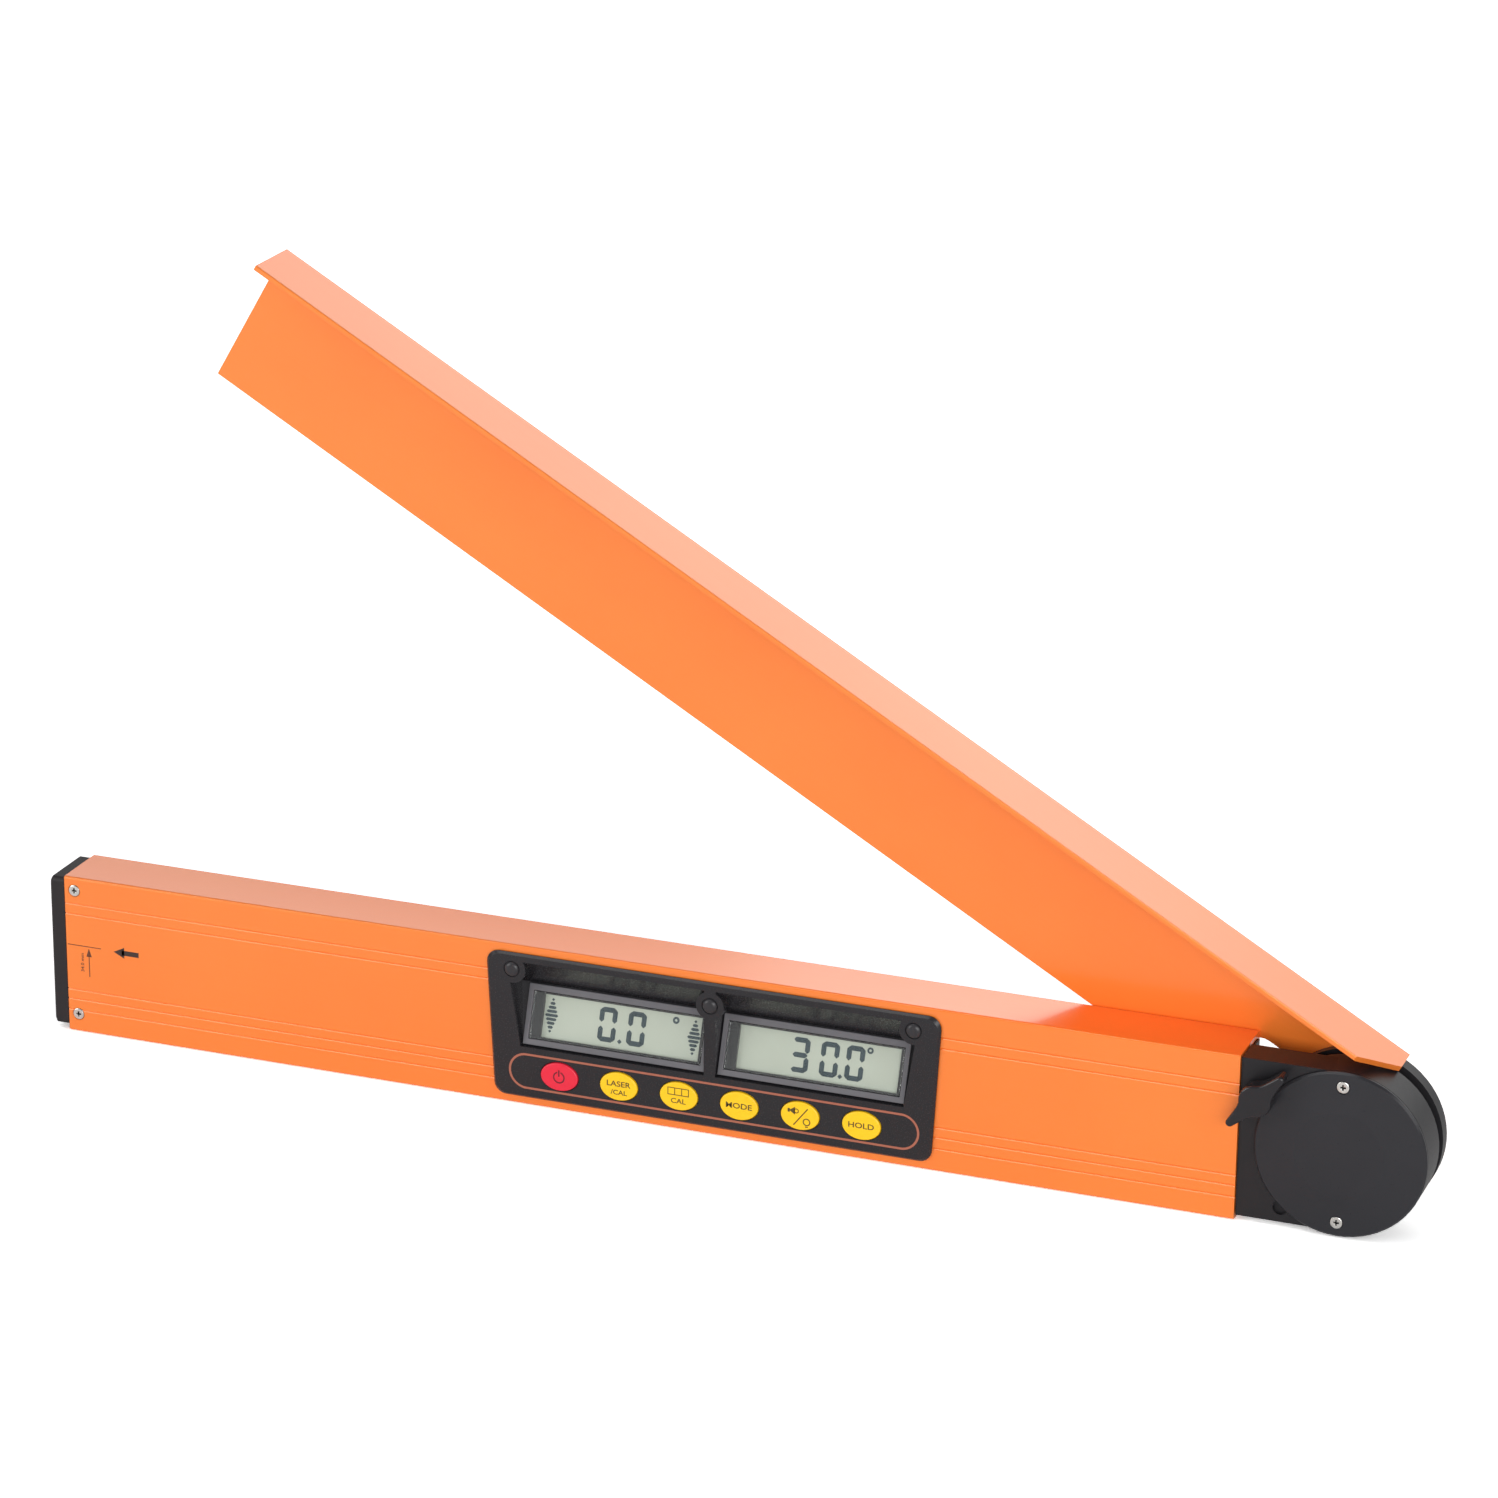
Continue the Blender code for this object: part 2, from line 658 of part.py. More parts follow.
cap_rings = [
    lift(cap_outline(CAP_BEVEL), "X", CAP_FACE),
    lift(cap_outline(0.0), "X", CAP_FACE + CAP_BEVEL),
    lift(cap_outline(0.0), "X", CAP_BACK),
]
end_cap = add("end_cap", shell(cap_rings), BLACK)
plug_inset = BASE_WALL + SEAT_GAP
plug_body = block(
    (CAP_BACK - CAP_THICKNESS / 2, FRONT + plug_inset, plug_inset),
    (LEFT + CAP_PLUG_LENGTH, BACK - plug_inset, BASE_HEIGHT - plug_inset),
)
join(end_cap, "cap_plug", plug_body)
laser_line = Vector((CAP_FACE, 0.0, LASER_HEIGHT))
laser_start = LASER_WINDOW_RECESS + LASER_WINDOW_THICKNESS + LASER_LIP
laser_bore = (
    (LASER_WINDOW_RADIUS + SEAT_GAP, -OVERRUN),
    (LASER_WINDOW_RADIUS + SEAT_GAP, laser_start - LASER_LIP + SEAT_GAP),
    (LASER_APERTURE_RADIUS, laser_start - LASER_LIP + SEAT_GAP),
    (LASER_APERTURE_RADIUS, laser_start + SEAT_GAP),
    (LASER_RADIUS + SEAT_GAP, laser_start + SEAT_GAP),
    (LASER_RADIUS + SEAT_GAP, laser_start + LASER_LENGTH + OVERRUN),
)
cut(end_cap, "laser_bore", turned(laser_bore, laser_line, X_AXIS))
smooth(end_cap)

laser_body = (
    (LASER_RADIUS, laser_start + 2 * SEAT_GAP),
    (LASER_RADIUS, laser_start + LASER_LENGTH),
)
smooth(add("laser_module", turned(laser_body, laser_line, X_AXIS), BRASS))
window_disc = (
    (LASER_WINDOW_RADIUS, LASER_WINDOW_RECESS),
    (LASER_WINDOW_RADIUS, LASER_WINDOW_RECESS + LASER_WINDOW_THICKNESS),
)
smooth(add("laser_window", turned(window_disc, laser_line, X_AXIS), GLASS))

end_screws = (
    ("end_cap_screw_upper", BASE_HEIGHT - END_SCREW_TOP_INSET),
    ("end_cap_screw_lower", END_SCREW_FOOT),
)
for name, height in end_screws:
    head = Vector((LEFT + END_SCREW_FROM_END, FRONT + SCREW_SINK, height))
    screw(name, head, Y_AXIS, END_SCREW_LENGTH, SMALL_HEAD_RADIUS)
    for carrier in (base, end_cap):
        hole = screw_hole(head, Y_AXIS, END_SCREW_LENGTH, SMALL_HEAD_RADIUS)
        cut(carrier, name + "_hole_" + carrier.name, hole)

# Battery tray, open to the back, with the cells, their contacts and the door.
cell_span = BATTERY_LENGTH + BATTERY_NUB_LENGTH
tray_x = LEFT + BATTERY_PLACE_SHARE * BASE_LENGTH
tray_half_length = cell_span / 2 + CONTACT_THICKNESS + CONTACT_BOSS_HEIGHT + 2 * SEAT_GAP
tray_half_height = 2 * BATTERY_RADIUS + SEAT_GAP / 2 + SEAT_GAP
tray_floor = BACK - DOOR_SINK - DOOR_THICKNESS - 2 * BATTERY_RADIUS - 2 * SEAT_GAP
tray_back = BACK - DOOR_SINK


def tray_block(margin, front, back):
    """A box round the middle of the tray, wider than its cavity by a margin."""
    half_length = tray_half_length + margin
    half_height = tray_half_height + margin
    low = (tray_x - half_length, front, MIDDLE_HEIGHT - half_height)
    high = (tray_x + half_length, back, MIDDLE_HEIGHT + half_height)
    return block(low, high)


tray = add("battery_tray", tray_block(TRAY_WALL, tray_floor - TRAY_FLOOR, tray_back), BLACK)
cut(tray, "tray_cavity", tray_block(0.0, tray_floor, BACK + OVERRUN))
door_front = tray_back - DOOR_THICKNESS
cut(tray, "door_seat", tray_block(TRAY_LEDGE, door_front - SEAT_GAP, BACK + OVERRUN))
tray_opening = tray_block(TRAY_WALL + SEAT_GAP, BACK - BASE_WALL - OVERRUN, BACK + OVERRUN)
cut(base, "tray_opening", tray_opening)
door = add("battery_door", tray_block(TRAY_LEDGE - SEAT_GAP, door_front, tray_back), BLACK)
ledge_length = tray_half_length + TRAY_LEDGE
notch_place = Vector((tray_x + ledge_length - DOOR_NOTCH_RADIUS - TRAY_WALL, tray_back, MIDDLE_HEIGHT))
notch = ((DOOR_NOTCH_RADIUS, -DOOR_NOTCH_DEPTH), (DOOR_NOTCH_RADIUS, OVERRUN))
cut(door, "door_notch", turned(notch, notch_place, Y_AXIS))

cell_y = tray_floor + SEAT_GAP + BATTERY_RADIUS
cell_rise = BATTERY_RADIUS + SEAT_GAP / 2
for name, side in (("battery_upper", 1), ("battery_lower", -1)):
    middle = Vector((tray_x, cell_y, MIDDLE_HEIGHT + side * cell_rise))
    cell = (
        (BATTERY_RADIUS, -cell_span / 2),
        (BATTERY_RADIUS, cell_span / 2 - BATTERY_NUB_LENGTH),
        (BATTERY_NUB_RADIUS, cell_span / 2 - BATTERY_NUB_LENGTH),
        (BATTERY_NUB_RADIUS, cell_span / 2),
    )
    smooth(add(name, turned(cell, middle, X_AXIS * side), CELL))


def contact(name, side, height, bosses):
    """A contact plate at one end of the cells, with a boss for each cell end."""
    wall = tray_x + side * (tray_half_length - SEAT_GAP)
    face = wall - side * CONTACT_THICKNESS
    centre = (cell_y, MIDDLE_HEIGHT + sum(bosses) * cell_rise / len(bosses))
    outline = rectangle(CONTACT_DEPTH, height, centre)
    thing = add(name, prism(outline, "X", face, wall), STEEL)
    for boss in bosses:
        start = Vector((face + side * CONTACT_THICKNESS / 2, cell_y, MIDDLE_HEIGHT + boss * cell_rise))
        rise = CONTACT_THICKNESS / 2 + CONTACT_BOSS_HEIGHT - SEAT_GAP
        cone = ((CONTACT_BOSS_RADIUS, 0.0), (CONTACT_TIP_RADIUS, rise))
        join(thing, name + "_boss_" + str(boss), turned(cone, start, X_AXIS * -side, SCREW_SIDES))
    return thing


contact("contact_bridge", -1, 2 * cell_rise + CONTACT_DEPTH, (1, -1))
contact("contact_positive", 1, CONTACT_DEPTH, (1,))
contact("contact_negative", 1, CONTACT_DEPTH, (-1,))

# Display bezel: a plate on the front, an insert behind it, two bays and the key wells.
bezel_rings = [
    lift(panel_outline(BEZEL_EDGE_BEVEL, BEZEL_CORNER_RADIUS), "Y", BEZEL_FACE),
    lift(panel_outline(0.0, BEZEL_CORNER_RADIUS), "Y", BEZEL_FACE + BEZEL_EDGE_BEVEL),
    lift(panel_outline(0.0, BEZEL_CORNER_RADIUS), "Y", FRONT - SEAT_GAP),
]
bezel = add("display_bezel", shell(bezel_rings), BLACK)
insert = panel_outline(BEZEL_LAND, BEZEL_CORNER_RADIUS)
join(bezel, "bezel_insert", prism(insert, "Y", BEZEL_FACE + BEZEL_PROUD / 2, INSERT_BACK))

floor_foot = slope_point(0.0, 0.0, 0.0)
floor_top = slope_point(0.0, BAY_SLOPE, 0.0)
middle_post_height = floor_top.z + POST_RADIUS + MIDDLE_POST_GAP
posts = []
for name, offset, height in (
    ("panel_plug_left", -POST_OFFSET, POST_HEIGHT),
    ("panel_plug_middle", 0.0, middle_post_height),
    ("panel_plug_right", POST_OFFSET, POST_HEIGHT),
):
    posts.append((name, Vector((BEZEL_X + offset, BEZEL_FACE, height))))

for name, side in (("left", -1), ("right", 1)):
    section = (
        (BEZEL_FACE - OVERRUN, BAY_FOOT_HEIGHT),
        (floor_foot.y, BAY_FOOT_HEIGHT),
        (floor_top.y, floor_top.z),
        (BEZEL_FACE, BAY_TOP_HEIGHT),
        (BEZEL_FACE - OVERRUN, BAY_TOP_HEIGHT),
    )
    inner = [Vector((BEZEL_X + side * BAY_INNER_OFFSET, y, z)) for y, z in section]
    outer = []
    for y, z in section:
        share = (z - BAY_FOOT_HEIGHT) / (BAY_TOP_HEIGHT - BAY_FOOT_HEIGHT)
        reach = BAY_OUTER_OFFSET + BAY_OUTER_SPREAD * share
        outer.append(Vector((BEZEL_X + side * reach, y, z)))
    pocket = cut(bezel, name + "_bay", shell([inner, outer]))
    for plug, place in posts:
        keep = ((POST_RADIUS, -2 * OVERRUN), (POST_RADIUS, INSERT_BACK - BEZEL_FACE))
        cut(pocket, name + "_bay_" + plug, turned(keep, place, Y_AXIS))

wall_rear = BEZEL_FACE + KEY_WALL
key_span = KEY_PITCH * (len(KEY_NAMES) - 1)
well_reach = key_span / 2 + KEY_WIDTH / 2 + KEY_FLANGE + KEY_WELL_MARGIN
well = block(
    (BEZEL_X - well_reach, wall_rear, WELL_LOW),
    (BEZEL_X + well_reach, INSERT_BACK + OVERRUN, WELL_HIGH),
)
cut(bezel, "key_well", well)
hollow_foot = slope_point(0.0, -KEY_WELL_MARGIN, -BAY_FLOOR_THICKNESS)
hollow_top = slope_point(0.0, BAY_SLOPE - DISPLAY_MARGIN / 2, -BAY_FLOOR_THICKNESS)
hollow = (
    (hollow_foot.y, WELL_HIGH - OVERRUN),
    (hollow_foot.y, hollow_foot.z),
    (hollow_top.y, hollow_top.z),
    (INSERT_BACK + OVERRUN, hollow_top.z),
    (INSERT_BACK + OVERRUN, WELL_HIGH - OVERRUN),
)
hollow_reach = BAY_OUTER_OFFSET + BEZEL_WALL
cut(bezel, "display_hollow", prism(hollow, "X", BEZEL_X - hollow_reach, BEZEL_X + hollow_reach))

# Displays, their windows and the frames that hold them on the bay floors.
for name, side in (("left", -1), ("right", 1)):
    middle = BEZEL_X + side * (BAY_INNER_OFFSET + SEAT_GAP + FRAME_WIDTH / 2)
    aperture_x = middle + APERTURE_SHIFT
    aperture = slope_block(
        aperture_x,
        APERTURE_WIDTH,
        APERTURE_FOOT,
        APERTURE_HEIGHT,
        -BAY_FLOOR_THICKNESS - SEAT_GAP / 2,
        FRAME_RISE,
    )
    cut(bezel, name + "_aperture", aperture)
    ring = slope_block(middle, FRAME_WIDTH, FRAME_FOOT, FRAME_HEIGHT, SEAT_GAP, FRAME_RISE)
    frame = add("frame_" + name, ring, BLACK)
    inside_width = FRAME_WIDTH - 2 * FRAME_SIDE
    inside_height = FRAME_HEIGHT - FRAME_SILL - FRAME_HEAD
    inside_foot = FRAME_FOOT + FRAME_SILL
    opening = slope_block(middle, inside_width, inside_foot, inside_height, -FRAME_RISE, 2 * FRAME_RISE)
    cut(frame, name + "_frame_opening", opening)
    pane = slope_block(
        middle,
        inside_width - 2 * SEAT_GAP,
        inside_foot + SEAT_GAP,
        inside_height - 2 * SEAT_GAP,
        SEAT_GAP,
        WINDOW_RISE,
    )
    add("window_" + name, pane, GLASS)
    back = -BAY_FLOOR_THICKNESS - SEAT_GAP
    glass = slope_block(
        aperture_x,
        APERTURE_WIDTH + 2 * DISPLAY_MARGIN,
        APERTURE_FOOT - DISPLAY_MARGIN,
        APERTURE_HEIGHT + 2 * DISPLAY_MARGIN,
        back - DISPLAY_THICKNESS,
        back,
    )
    add("display_" + name, glass, DISPLAY)

# Domed plugs in the posts.
for name, place in posts:
    seat = PLUG_RADIUS + SEAT_GAP
    shank = PLUG_SHANK_RADIUS + SEAT_GAP
    hole = (
        (seat, -OVERRUN),
        (seat, PLUG_SINK),
        (shank, PLUG_SINK),
        (shank, PLUG_SINK + PLUG_SHANK_LENGTH),
    )
    cut(bezel, name + "_seat", turned(hole, place, Y_AXIS))
    stations = []
    for step in range(1, PLUG_DOME_STEPS + 1):
        turn = math.pi / 2 * step / PLUG_DOME_STEPS
        stations.append((PLUG_RADIUS * math.sin(turn), -PLUG_DOME * math.cos(turn)))
    stations.append((PLUG_RADIUS, PLUG_SINK - SEAT_GAP))
    stations.append((PLUG_SHANK_RADIUS, PLUG_SINK - SEAT_GAP))
    stations.append((PLUG_SHANK_RADIUS, PLUG_SINK + PLUG_SHANK_LENGTH - SEAT_GAP))
    smooth(add(name, turned(stations, place, Y_AXIS), BLACK))

# Keys: oval caps with a flange behind the bezel and a stem over each switch.


def key_ring(place, inset, y):
    """One oval ring of a key."""
    oval = ellipse(KEY_WIDTH / 2 - inset, KEY_HEIGHT / 2 - inset, ROUND_SIDES)
    return [Vector((place + a, y, KEY_ROW_HEIGHT + b)) for a, b in oval]


key_face = BEZEL_FACE - KEY_PROUD
flange_front = wall_rear + SEAT_GAP
flange_back = flange_front + KEY_FLANGE_THICKNESS
stem_end = flange_back + KEY_STEM_LENGTH
key_places = []
for index, name in enumerate(KEY_NAMES):
    place = BEZEL_X - key_span / 2 + KEY_PITCH * index
    key_places.append(place)
    rings = [
        key_ring(place, KEY_BEVEL, key_face),
        key_ring(place, 0.0, key_face + KEY_BEVEL),
        key_ring(place, 0.0, flange_front),
        key_ring(place, -KEY_FLANGE, flange_front),
        key_ring(place, -KEY_FLANGE, flange_back),
        key_ring(place, KEY_STEM_INSET, flange_back),
        key_ring(place, KEY_STEM_INSET, stem_end),
    ]
    smooth(add(name, shell(rings), RED if index == 0 else YELLOW))
    hole = [key_ring(place, -SEAT_GAP, BEZEL_FACE - OVERRUN), key_ring(place, -SEAT_GAP, wall_rear + OVERRUN)]
    cut(bezel, name + "_hole", shell(hole))

# Main board, with a switch behind each key and a chip, and what is fixed on its back.
board_outline = rectangle(BOARD_WIDTH, BOARD_HEIGHT, (BEZEL_X, MIDDLE_HEIGHT))
board = add("main_board", prism(board_outline, "Y", BOARD_FRONT, BOARD_BACK), BOARD)
switch_face = stem_end + KEY_TRAVEL + SEAT_GAP
for name, place in zip(KEY_NAMES, key_places):
    outline = rectangle(SWITCH_SIDE, SWITCH_SIDE, (place, KEY_ROW_HEIGHT))
    join(board, name + "_switch", prism(outline, "Y", switch_face, BOARD_FRONT + BOARD_THICKNESS / 2))
chip = rectangle(CHIP_SIDE, CHIP_SIDE, (BEZEL_X, MIDDLE_HEIGHT))
join(board, "board_chip", prism(chip, "Y", BOARD_FRONT + BOARD_THICKNESS / 2, BOARD_BACK + CHIP_HEIGHT))

screw_top_offset = BOARD_WIDTH / 2 - BOARD_SCREW_TOP_SIDE
screw_top_height = BASE_HEIGHT - BOARD_EDGE_INSET - BOARD_SCREW_TOP_DROP
screw_foot_offset = BOARD_WIDTH / 2 - BOARD_SCREW_FOOT_SIDE
screw_foot_height = BOARD_EDGE_INSET + BOARD_SCREW_FOOT_RISE
board_screws = (
    (-screw_top_offset, screw_top_height),
    (screw_top_offset, screw_top_height),
    (-screw_foot_offset, screw_foot_height),
    (screw_foot_offset, screw_foot_height),
)
for index, (offset, height) in enumerate(board_screws):
    place = Vector((BEZEL_X + offset, BOARD_BACK, height))
    name = "board_screw_" + str(index + 1)
    stations = (
        (BOARD_SCREW_HEAD_RADIUS, -BOARD_SCREW_HEAD_HEIGHT - SEAT_GAP),
        (BOARD_SCREW_HEAD_RADIUS, -SEAT_GAP),
        (BOARD_SCREW_RADIUS, -SEAT_GAP),
        (BOARD_SCREW_RADIUS, BOARD_SCREW_LENGTH),
    )
    smooth(add(name, turned(stations, place, -Y_AXIS, SCREW_SIDES), STEEL))
    hole = (
        (BOARD_SCREW_RADIUS + SEAT_GAP, -OVERRUN),
        (BOARD_SCREW_RADIUS + SEAT_GAP, BOARD_SCREW_LENGTH + SEAT_GAP),
    )
    for carrier in (board, bezel):
        cut(carrier, name + "_hole_" + carrier.name, turned(hole, place, -Y_AXIS, SCREW_SIDES))

sensor_place = (BEZEL_X - SENSOR_OFFSET, MIDDLE_HEIGHT)
sensor = rectangle(SENSOR_SIDE, SENSOR_SIDE, sensor_place)
sensor_front = BOARD_BACK + SEAT_GAP
add("tilt_sensor", prism(sensor, "Y", sensor_front, sensor_front + SENSOR_HEIGHT), STEEL)
buzzer_place = Vector((BEZEL_X + SENSOR_OFFSET, sensor_front, MIDDLE_HEIGHT))
buzzer = ((BUZZER_RADIUS, 0.0), (BUZZER_RADIUS, BUZZER_HEIGHT))
smooth(add("buzzer", turned(buzzer, buzzer_place, Y_AXIS), BLACK))

# Leads from the laser and the battery tray to the board, and the encoder's ribbon.
board_left = BEZEL_X - BOARD_WIDTH / 2
lead_y = BOARD_BACK + SEAT_GAP + LEAD_RADIUS
lead_section = circle(LEAD_RADIUS, SCREW_SIDES)
laser_end = CAP_FACE + laser_start + LASER_LENGTH + SEAT_GAP
front_y = FRONT + BASE_WALL + LEAD_FRONT_SPACE
tray_left = tray_x - tray_half_length - TRAY_WALL
tray_right = tray_x + tray_half_length + TRAY_WALL
route = swerve(laser_end, tray_left - LEAD_OVERLAP, 0.0, front_y, LASER_HEIGHT)
route += swerve(tray_right + LEAD_OVERLAP, board_left - LEAD_OVERLAP, front_y, lead_y, LASER_HEIGHT)
route.append(Vector((board_left + LEAD_OVERLAP, lead_y, LASER_HEIGHT)))
smooth(add("laser_lead", sweep(route, lead_section), WIRE))
battery_lead_height = LASER_HEIGHT - BATTERY_LEAD_DROP
route = [
    Vector((tray_right + SEAT_GAP, lead_y, battery_lead_height)),
    Vector((board_left + LEAD_OVERLAP, lead_y, battery_lead_height)),
]
smooth(add("battery_lead", sweep(route, lead_section), WIRE))
ribbon_start = BOARD_BACK + SEAT_GAP + RIBBON_THICKNESS / 2
ribbon_end = ENCODER_BACK + SEAT_GAP + RIBBON_THICKNESS / 2
board_right = BEZEL_X + BOARD_WIDTH / 2
cavity_radius = DRUM_RADIUS - DRUM_WALL
route = [Vector((board_right - RIBBON_TAIL, ribbon_start, MIDDLE_HEIGHT))]
bend = board_right + LEAD_OVERLAP
bend_end = RIGHT - INSERT_LENGTH - LEAD_OVERLAP
route += swerve(bend, bend_end, ribbon_start, ribbon_end, MIDDLE_HEIGHT)
route.append(Vector((PIVOT.x - cavity_radius + RIBBON_TAIL, ribbon_end, MIDDLE_HEIGHT)))
add("encoder_ribbon", sweep(route, rectangle(RIBBON_THICKNESS, RIBBON_WIDTH)), WIRE)

# Hinge housing: drum, block and insert in one moulding.
housing_depth = DRUM_REAR - HOUSING_FACE
drum_place = Vector((PIVOT.x, HOUSING_FACE, PIVOT.z))
drum = ((DRUM_RADIUS, 0.0), (DRUM_RADIUS, housing_depth))
housing = add("hinge_housing", turned(drum, drum_place, Y_AXIS, DRUM_SIDES), BLACK)
block_back = FRONT + BLOCK_BACK
block_top = BASE_HEIGHT - BLOCK_TOP_INSET
block_section = (
    (HOUSING_FACE, BLOCK_FOOT_INSET),
    (block_back - BLOCK_RELIEF, BLOCK_FOOT_INSET),
    (block_back, BLOCK_FOOT_INSET + BLOCK_RELIEF),
    (block_back, block_top),
    (HOUSING_FACE, block_top),
)
join(housing, "housing_block", prism(block_section, "X", RIGHT + SEAT_GAP, PIVOT.x))
insert_body = block(
    (RIGHT - INSERT_LENGTH, FRONT + plug_inset, plug_inset),
    (RIGHT + INSERT_REACH, BACK - plug_inset, BASE_HEIGHT - plug_inset),
)
join(housing, "housing_insert", insert_body)
cavity = (
    (cavity_radius, -OVERRUN),
    (cavity_radius, ENCODER_BACK + SEAT_GAP - HOUSING_FACE),
    (cavity_radius - ENCODER_LEDGE, ENCODER_BACK + SEAT_GAP - HOUSING_FACE),
    (cavity_radius - ENCODER_LEDGE, DRUM_FLOOR_FRONT - HOUSING_FACE),
)
cut(housing, "drum_cavity", turned(cavity, drum_place, Y_AXIS, DRUM_SIDES))
cover_screws = (("hinge_cover_screw_upper", 1), ("hinge_cover_screw_lower", -1))
for name, side in cover_screws:
    place = Vector((PIVOT.x, HOUSING_FACE, PIVOT.z + side * COVER_SCREW_CIRCLE))
    boss = ((COVER_BOSS_RADIUS, SEAT_GAP), (COVER_BOSS_RADIUS, housing_depth - DRUM_FLOOR / 2))
    join(housing, name + "_boss", turned(boss, place, Y_AXIS))
slot_half = RIBBON_THICKNESS / 2 + RIBBON_SLOT_GAP
slot_rise = RIBBON_WIDTH / 2 + RIBBON_SLOT_GAP
slot = block(
    (RIGHT - INSERT_LENGTH - OVERRUN, ribbon_end - slot_half, MIDDLE_HEIGHT - slot_rise),
    (PIVOT.x - cavity_radius + RIBBON_TAIL, ribbon_end + slot_half, MIDDLE_HEIGHT + slot_rise),
)
cut(housing, "ribbon_slot", slot)
dimple_place = Vector((RIGHT + DIMPLE_REACH, HOUSING_FACE, DIMPLE_HEIGHT))
dimple = ((DIMPLE_RADIUS, -OVERRUN), (DIMPLE_RADIUS, DIMPLE_DEPTH))
cut(housing, "block_dimple", turned(dimple, dimple_place, Y_AXIS, ROUND_SIDES))
bush_bore = ((BUSH_RADIUS + SEAT_GAP, 0.0), (BUSH_RADIUS + SEAT_GAP, housing_depth + OVERRUN))
cut(housing, "bush_bore", turned(bush_bore, drum_place, Y_AXIS))
smooth(housing)

for name, side in (("housing_screw_upper", 1), ("housing_screw_lower", -1)):
    height = MIDDLE_HEIGHT + side * HOUSING_SCREW_SPREAD / 2
    head = Vector((RIGHT - HOUSING_SCREW_FROM_END, BACK - SCREW_SINK, height))
    screw(name, head, -Y_AXIS, HOUSING_SCREW_LENGTH, SCREW_HEAD_RADIUS)
    for carrier in (base, housing):
        hole = screw_hole(head, -Y_AXIS, HOUSING_SCREW_LENGTH, SCREW_HEAD_RADIUS)
        cut(carrier, name + "_hole_" + carrier.name, hole)

# Hinge cover: a round plate with a level centre field, a falling rim round it and two screws.
cover_place = Vector((PIVOT.x, COVER_FACE, PIVOT.z))
cover_rings = (
    (COVER_FIELD_RADIUS, 0.0),
    (DRUM_RADIUS - COVER_BEVEL, COVER_FALL),
    (DRUM_RADIUS, COVER_FALL + COVER_BEVEL),
    (DRUM_RADIUS, COVER_BACK - COVER_FACE),
)
rim_width = DRUM_RADIUS - COVER_BEVEL - COVER_FIELD_RADIUS
cover_screw_fall = COVER_FALL * (COVER_SCREW_CIRCLE - COVER_FIELD_RADIUS) / rim_width
cover_screw_face = COVER_FACE + cover_screw_fall + SCREW_SINK
cover = add("hinge_cover", turned(cover_rings, cover_place, Y_AXIS, DRUM_SIDES), BLACK)
for name, side in cover_screws:
    head = Vector((PIVOT.x, cover_screw_face, PIVOT.z + side * COVER_SCREW_CIRCLE))
    screw(name, head, Y_AXIS, COVER_SCREW_LENGTH, SMALL_HEAD_RADIUS)
    for carrier in (cover, housing):
        hole = screw_hole(head, Y_AXIS, COVER_SCREW_LENGTH, SMALL_HEAD_RADIUS)
        cut(carrier, name + "_hole_" + carrier.name, hole)
smooth(cover)

# Encoder board on the drum's ledge, notched round the screw bosses.
encoder_place = Vector((PIVOT.x, ENCODER_FRONT, PIVOT.z))
board_disc = ((cavity_radius - SEAT_GAP, 0.0), (cavity_radius - SEAT_GAP, ENCODER_BOARD_THICKNESS))
encoder_board = add("encoder_board", turned(board_disc, encoder_place, Y_AXIS, DRUM_SIDES), BOARD)
for name, side in cover_screws:
    place = Vector((PIVOT.x, ENCODER_FRONT, PIVOT.z + side * COVER_SCREW_CIRCLE))
    notch = ((COVER_BOSS_RADIUS + SEAT_GAP, -OVERRUN), (COVER_BOSS_RADIUS + SEAT_GAP, 2 * OVERRUN))
    cut(encoder_board, name + "_notch", turned(notch, place, Y_AXIS))
chip_circle = NUT_RADIUS + ENCODER_CHIP_SPACE + ENCODER_CHIP_SIDE / 2
encoder_chip = rectangle(ENCODER_CHIP_SIDE, ENCODER_CHIP_SIDE, (PIVOT.x, PIVOT.z - chip_circle))
chip_start = ENCODER_FRONT + ENCODER_BOARD_THICKNESS / 2
join(encoder_board, "encoder_chip", prism(encoder_chip, "Y", chip_start, ENCODER_BACK + ENCODER_CHIP_HEIGHT))

# Pivot bush in the drum's floor.
bush_inner = SHAFT_RADIUS + SEAT_GAP
bush_rear = DRUM_FLOOR_FRONT - SEAT_GAP
bush_front = bush_rear - BUSH_FLANGE_THICKNESS
pivot_line = Vector((PIVOT.x, 0.0, PIVOT.z))
bush = (
    (bush_inner, bush_front),
    (BUSH_FLANGE_RADIUS, bush_front),
    (BUSH_FLANGE_RADIUS, bush_rear),
    (BUSH_RADIUS, bush_rear),
    (BUSH_RADIUS, DRUM_REAR),
    (bush_inner, DRUM_REAR),
)
smooth(add("pivot_bush", turned(bush, pivot_line, Y_AXIS, ROUND_SIDES, True), BRONZE))

# Lock spindle through the block, with a cam behind it, and the wing lever on its front.
lever_place = Vector((RIGHT + LEVER_REACH, 0.0, BASE_HEIGHT - LEVER_TOP_INSET))
wing_back = COVER_FACE - LEVER_CLEARANCE
wing_face = wing_back - LEVER_DEPTH
cam_front = DRUM_REAR + SEAT_GAP
cam_back = HUB_FRONT - SEAT_GAP
spindle_line = ((SPINDLE_RADIUS, wing_back - LEVER_BORE_DEPTH + SEAT_GAP), (SPINDLE_RADIUS, cam_back))
spindle = add("lock_spindle", turned(spindle_line, lever_place, Y_AXIS), STEEL)
to_pivot = Vector((PIVOT.x, 0.0, PIVOT.z)) - lever_place
cam_offset = to_pivot.length - BRAKE_RING_RADIUS - SEAT_GAP - CAM_RADIUS
cam_place = lever_place + to_pivot.normalized() * cam_offset
cam = ((CAM_RADIUS, cam_front), (CAM_RADIUS, cam_back))
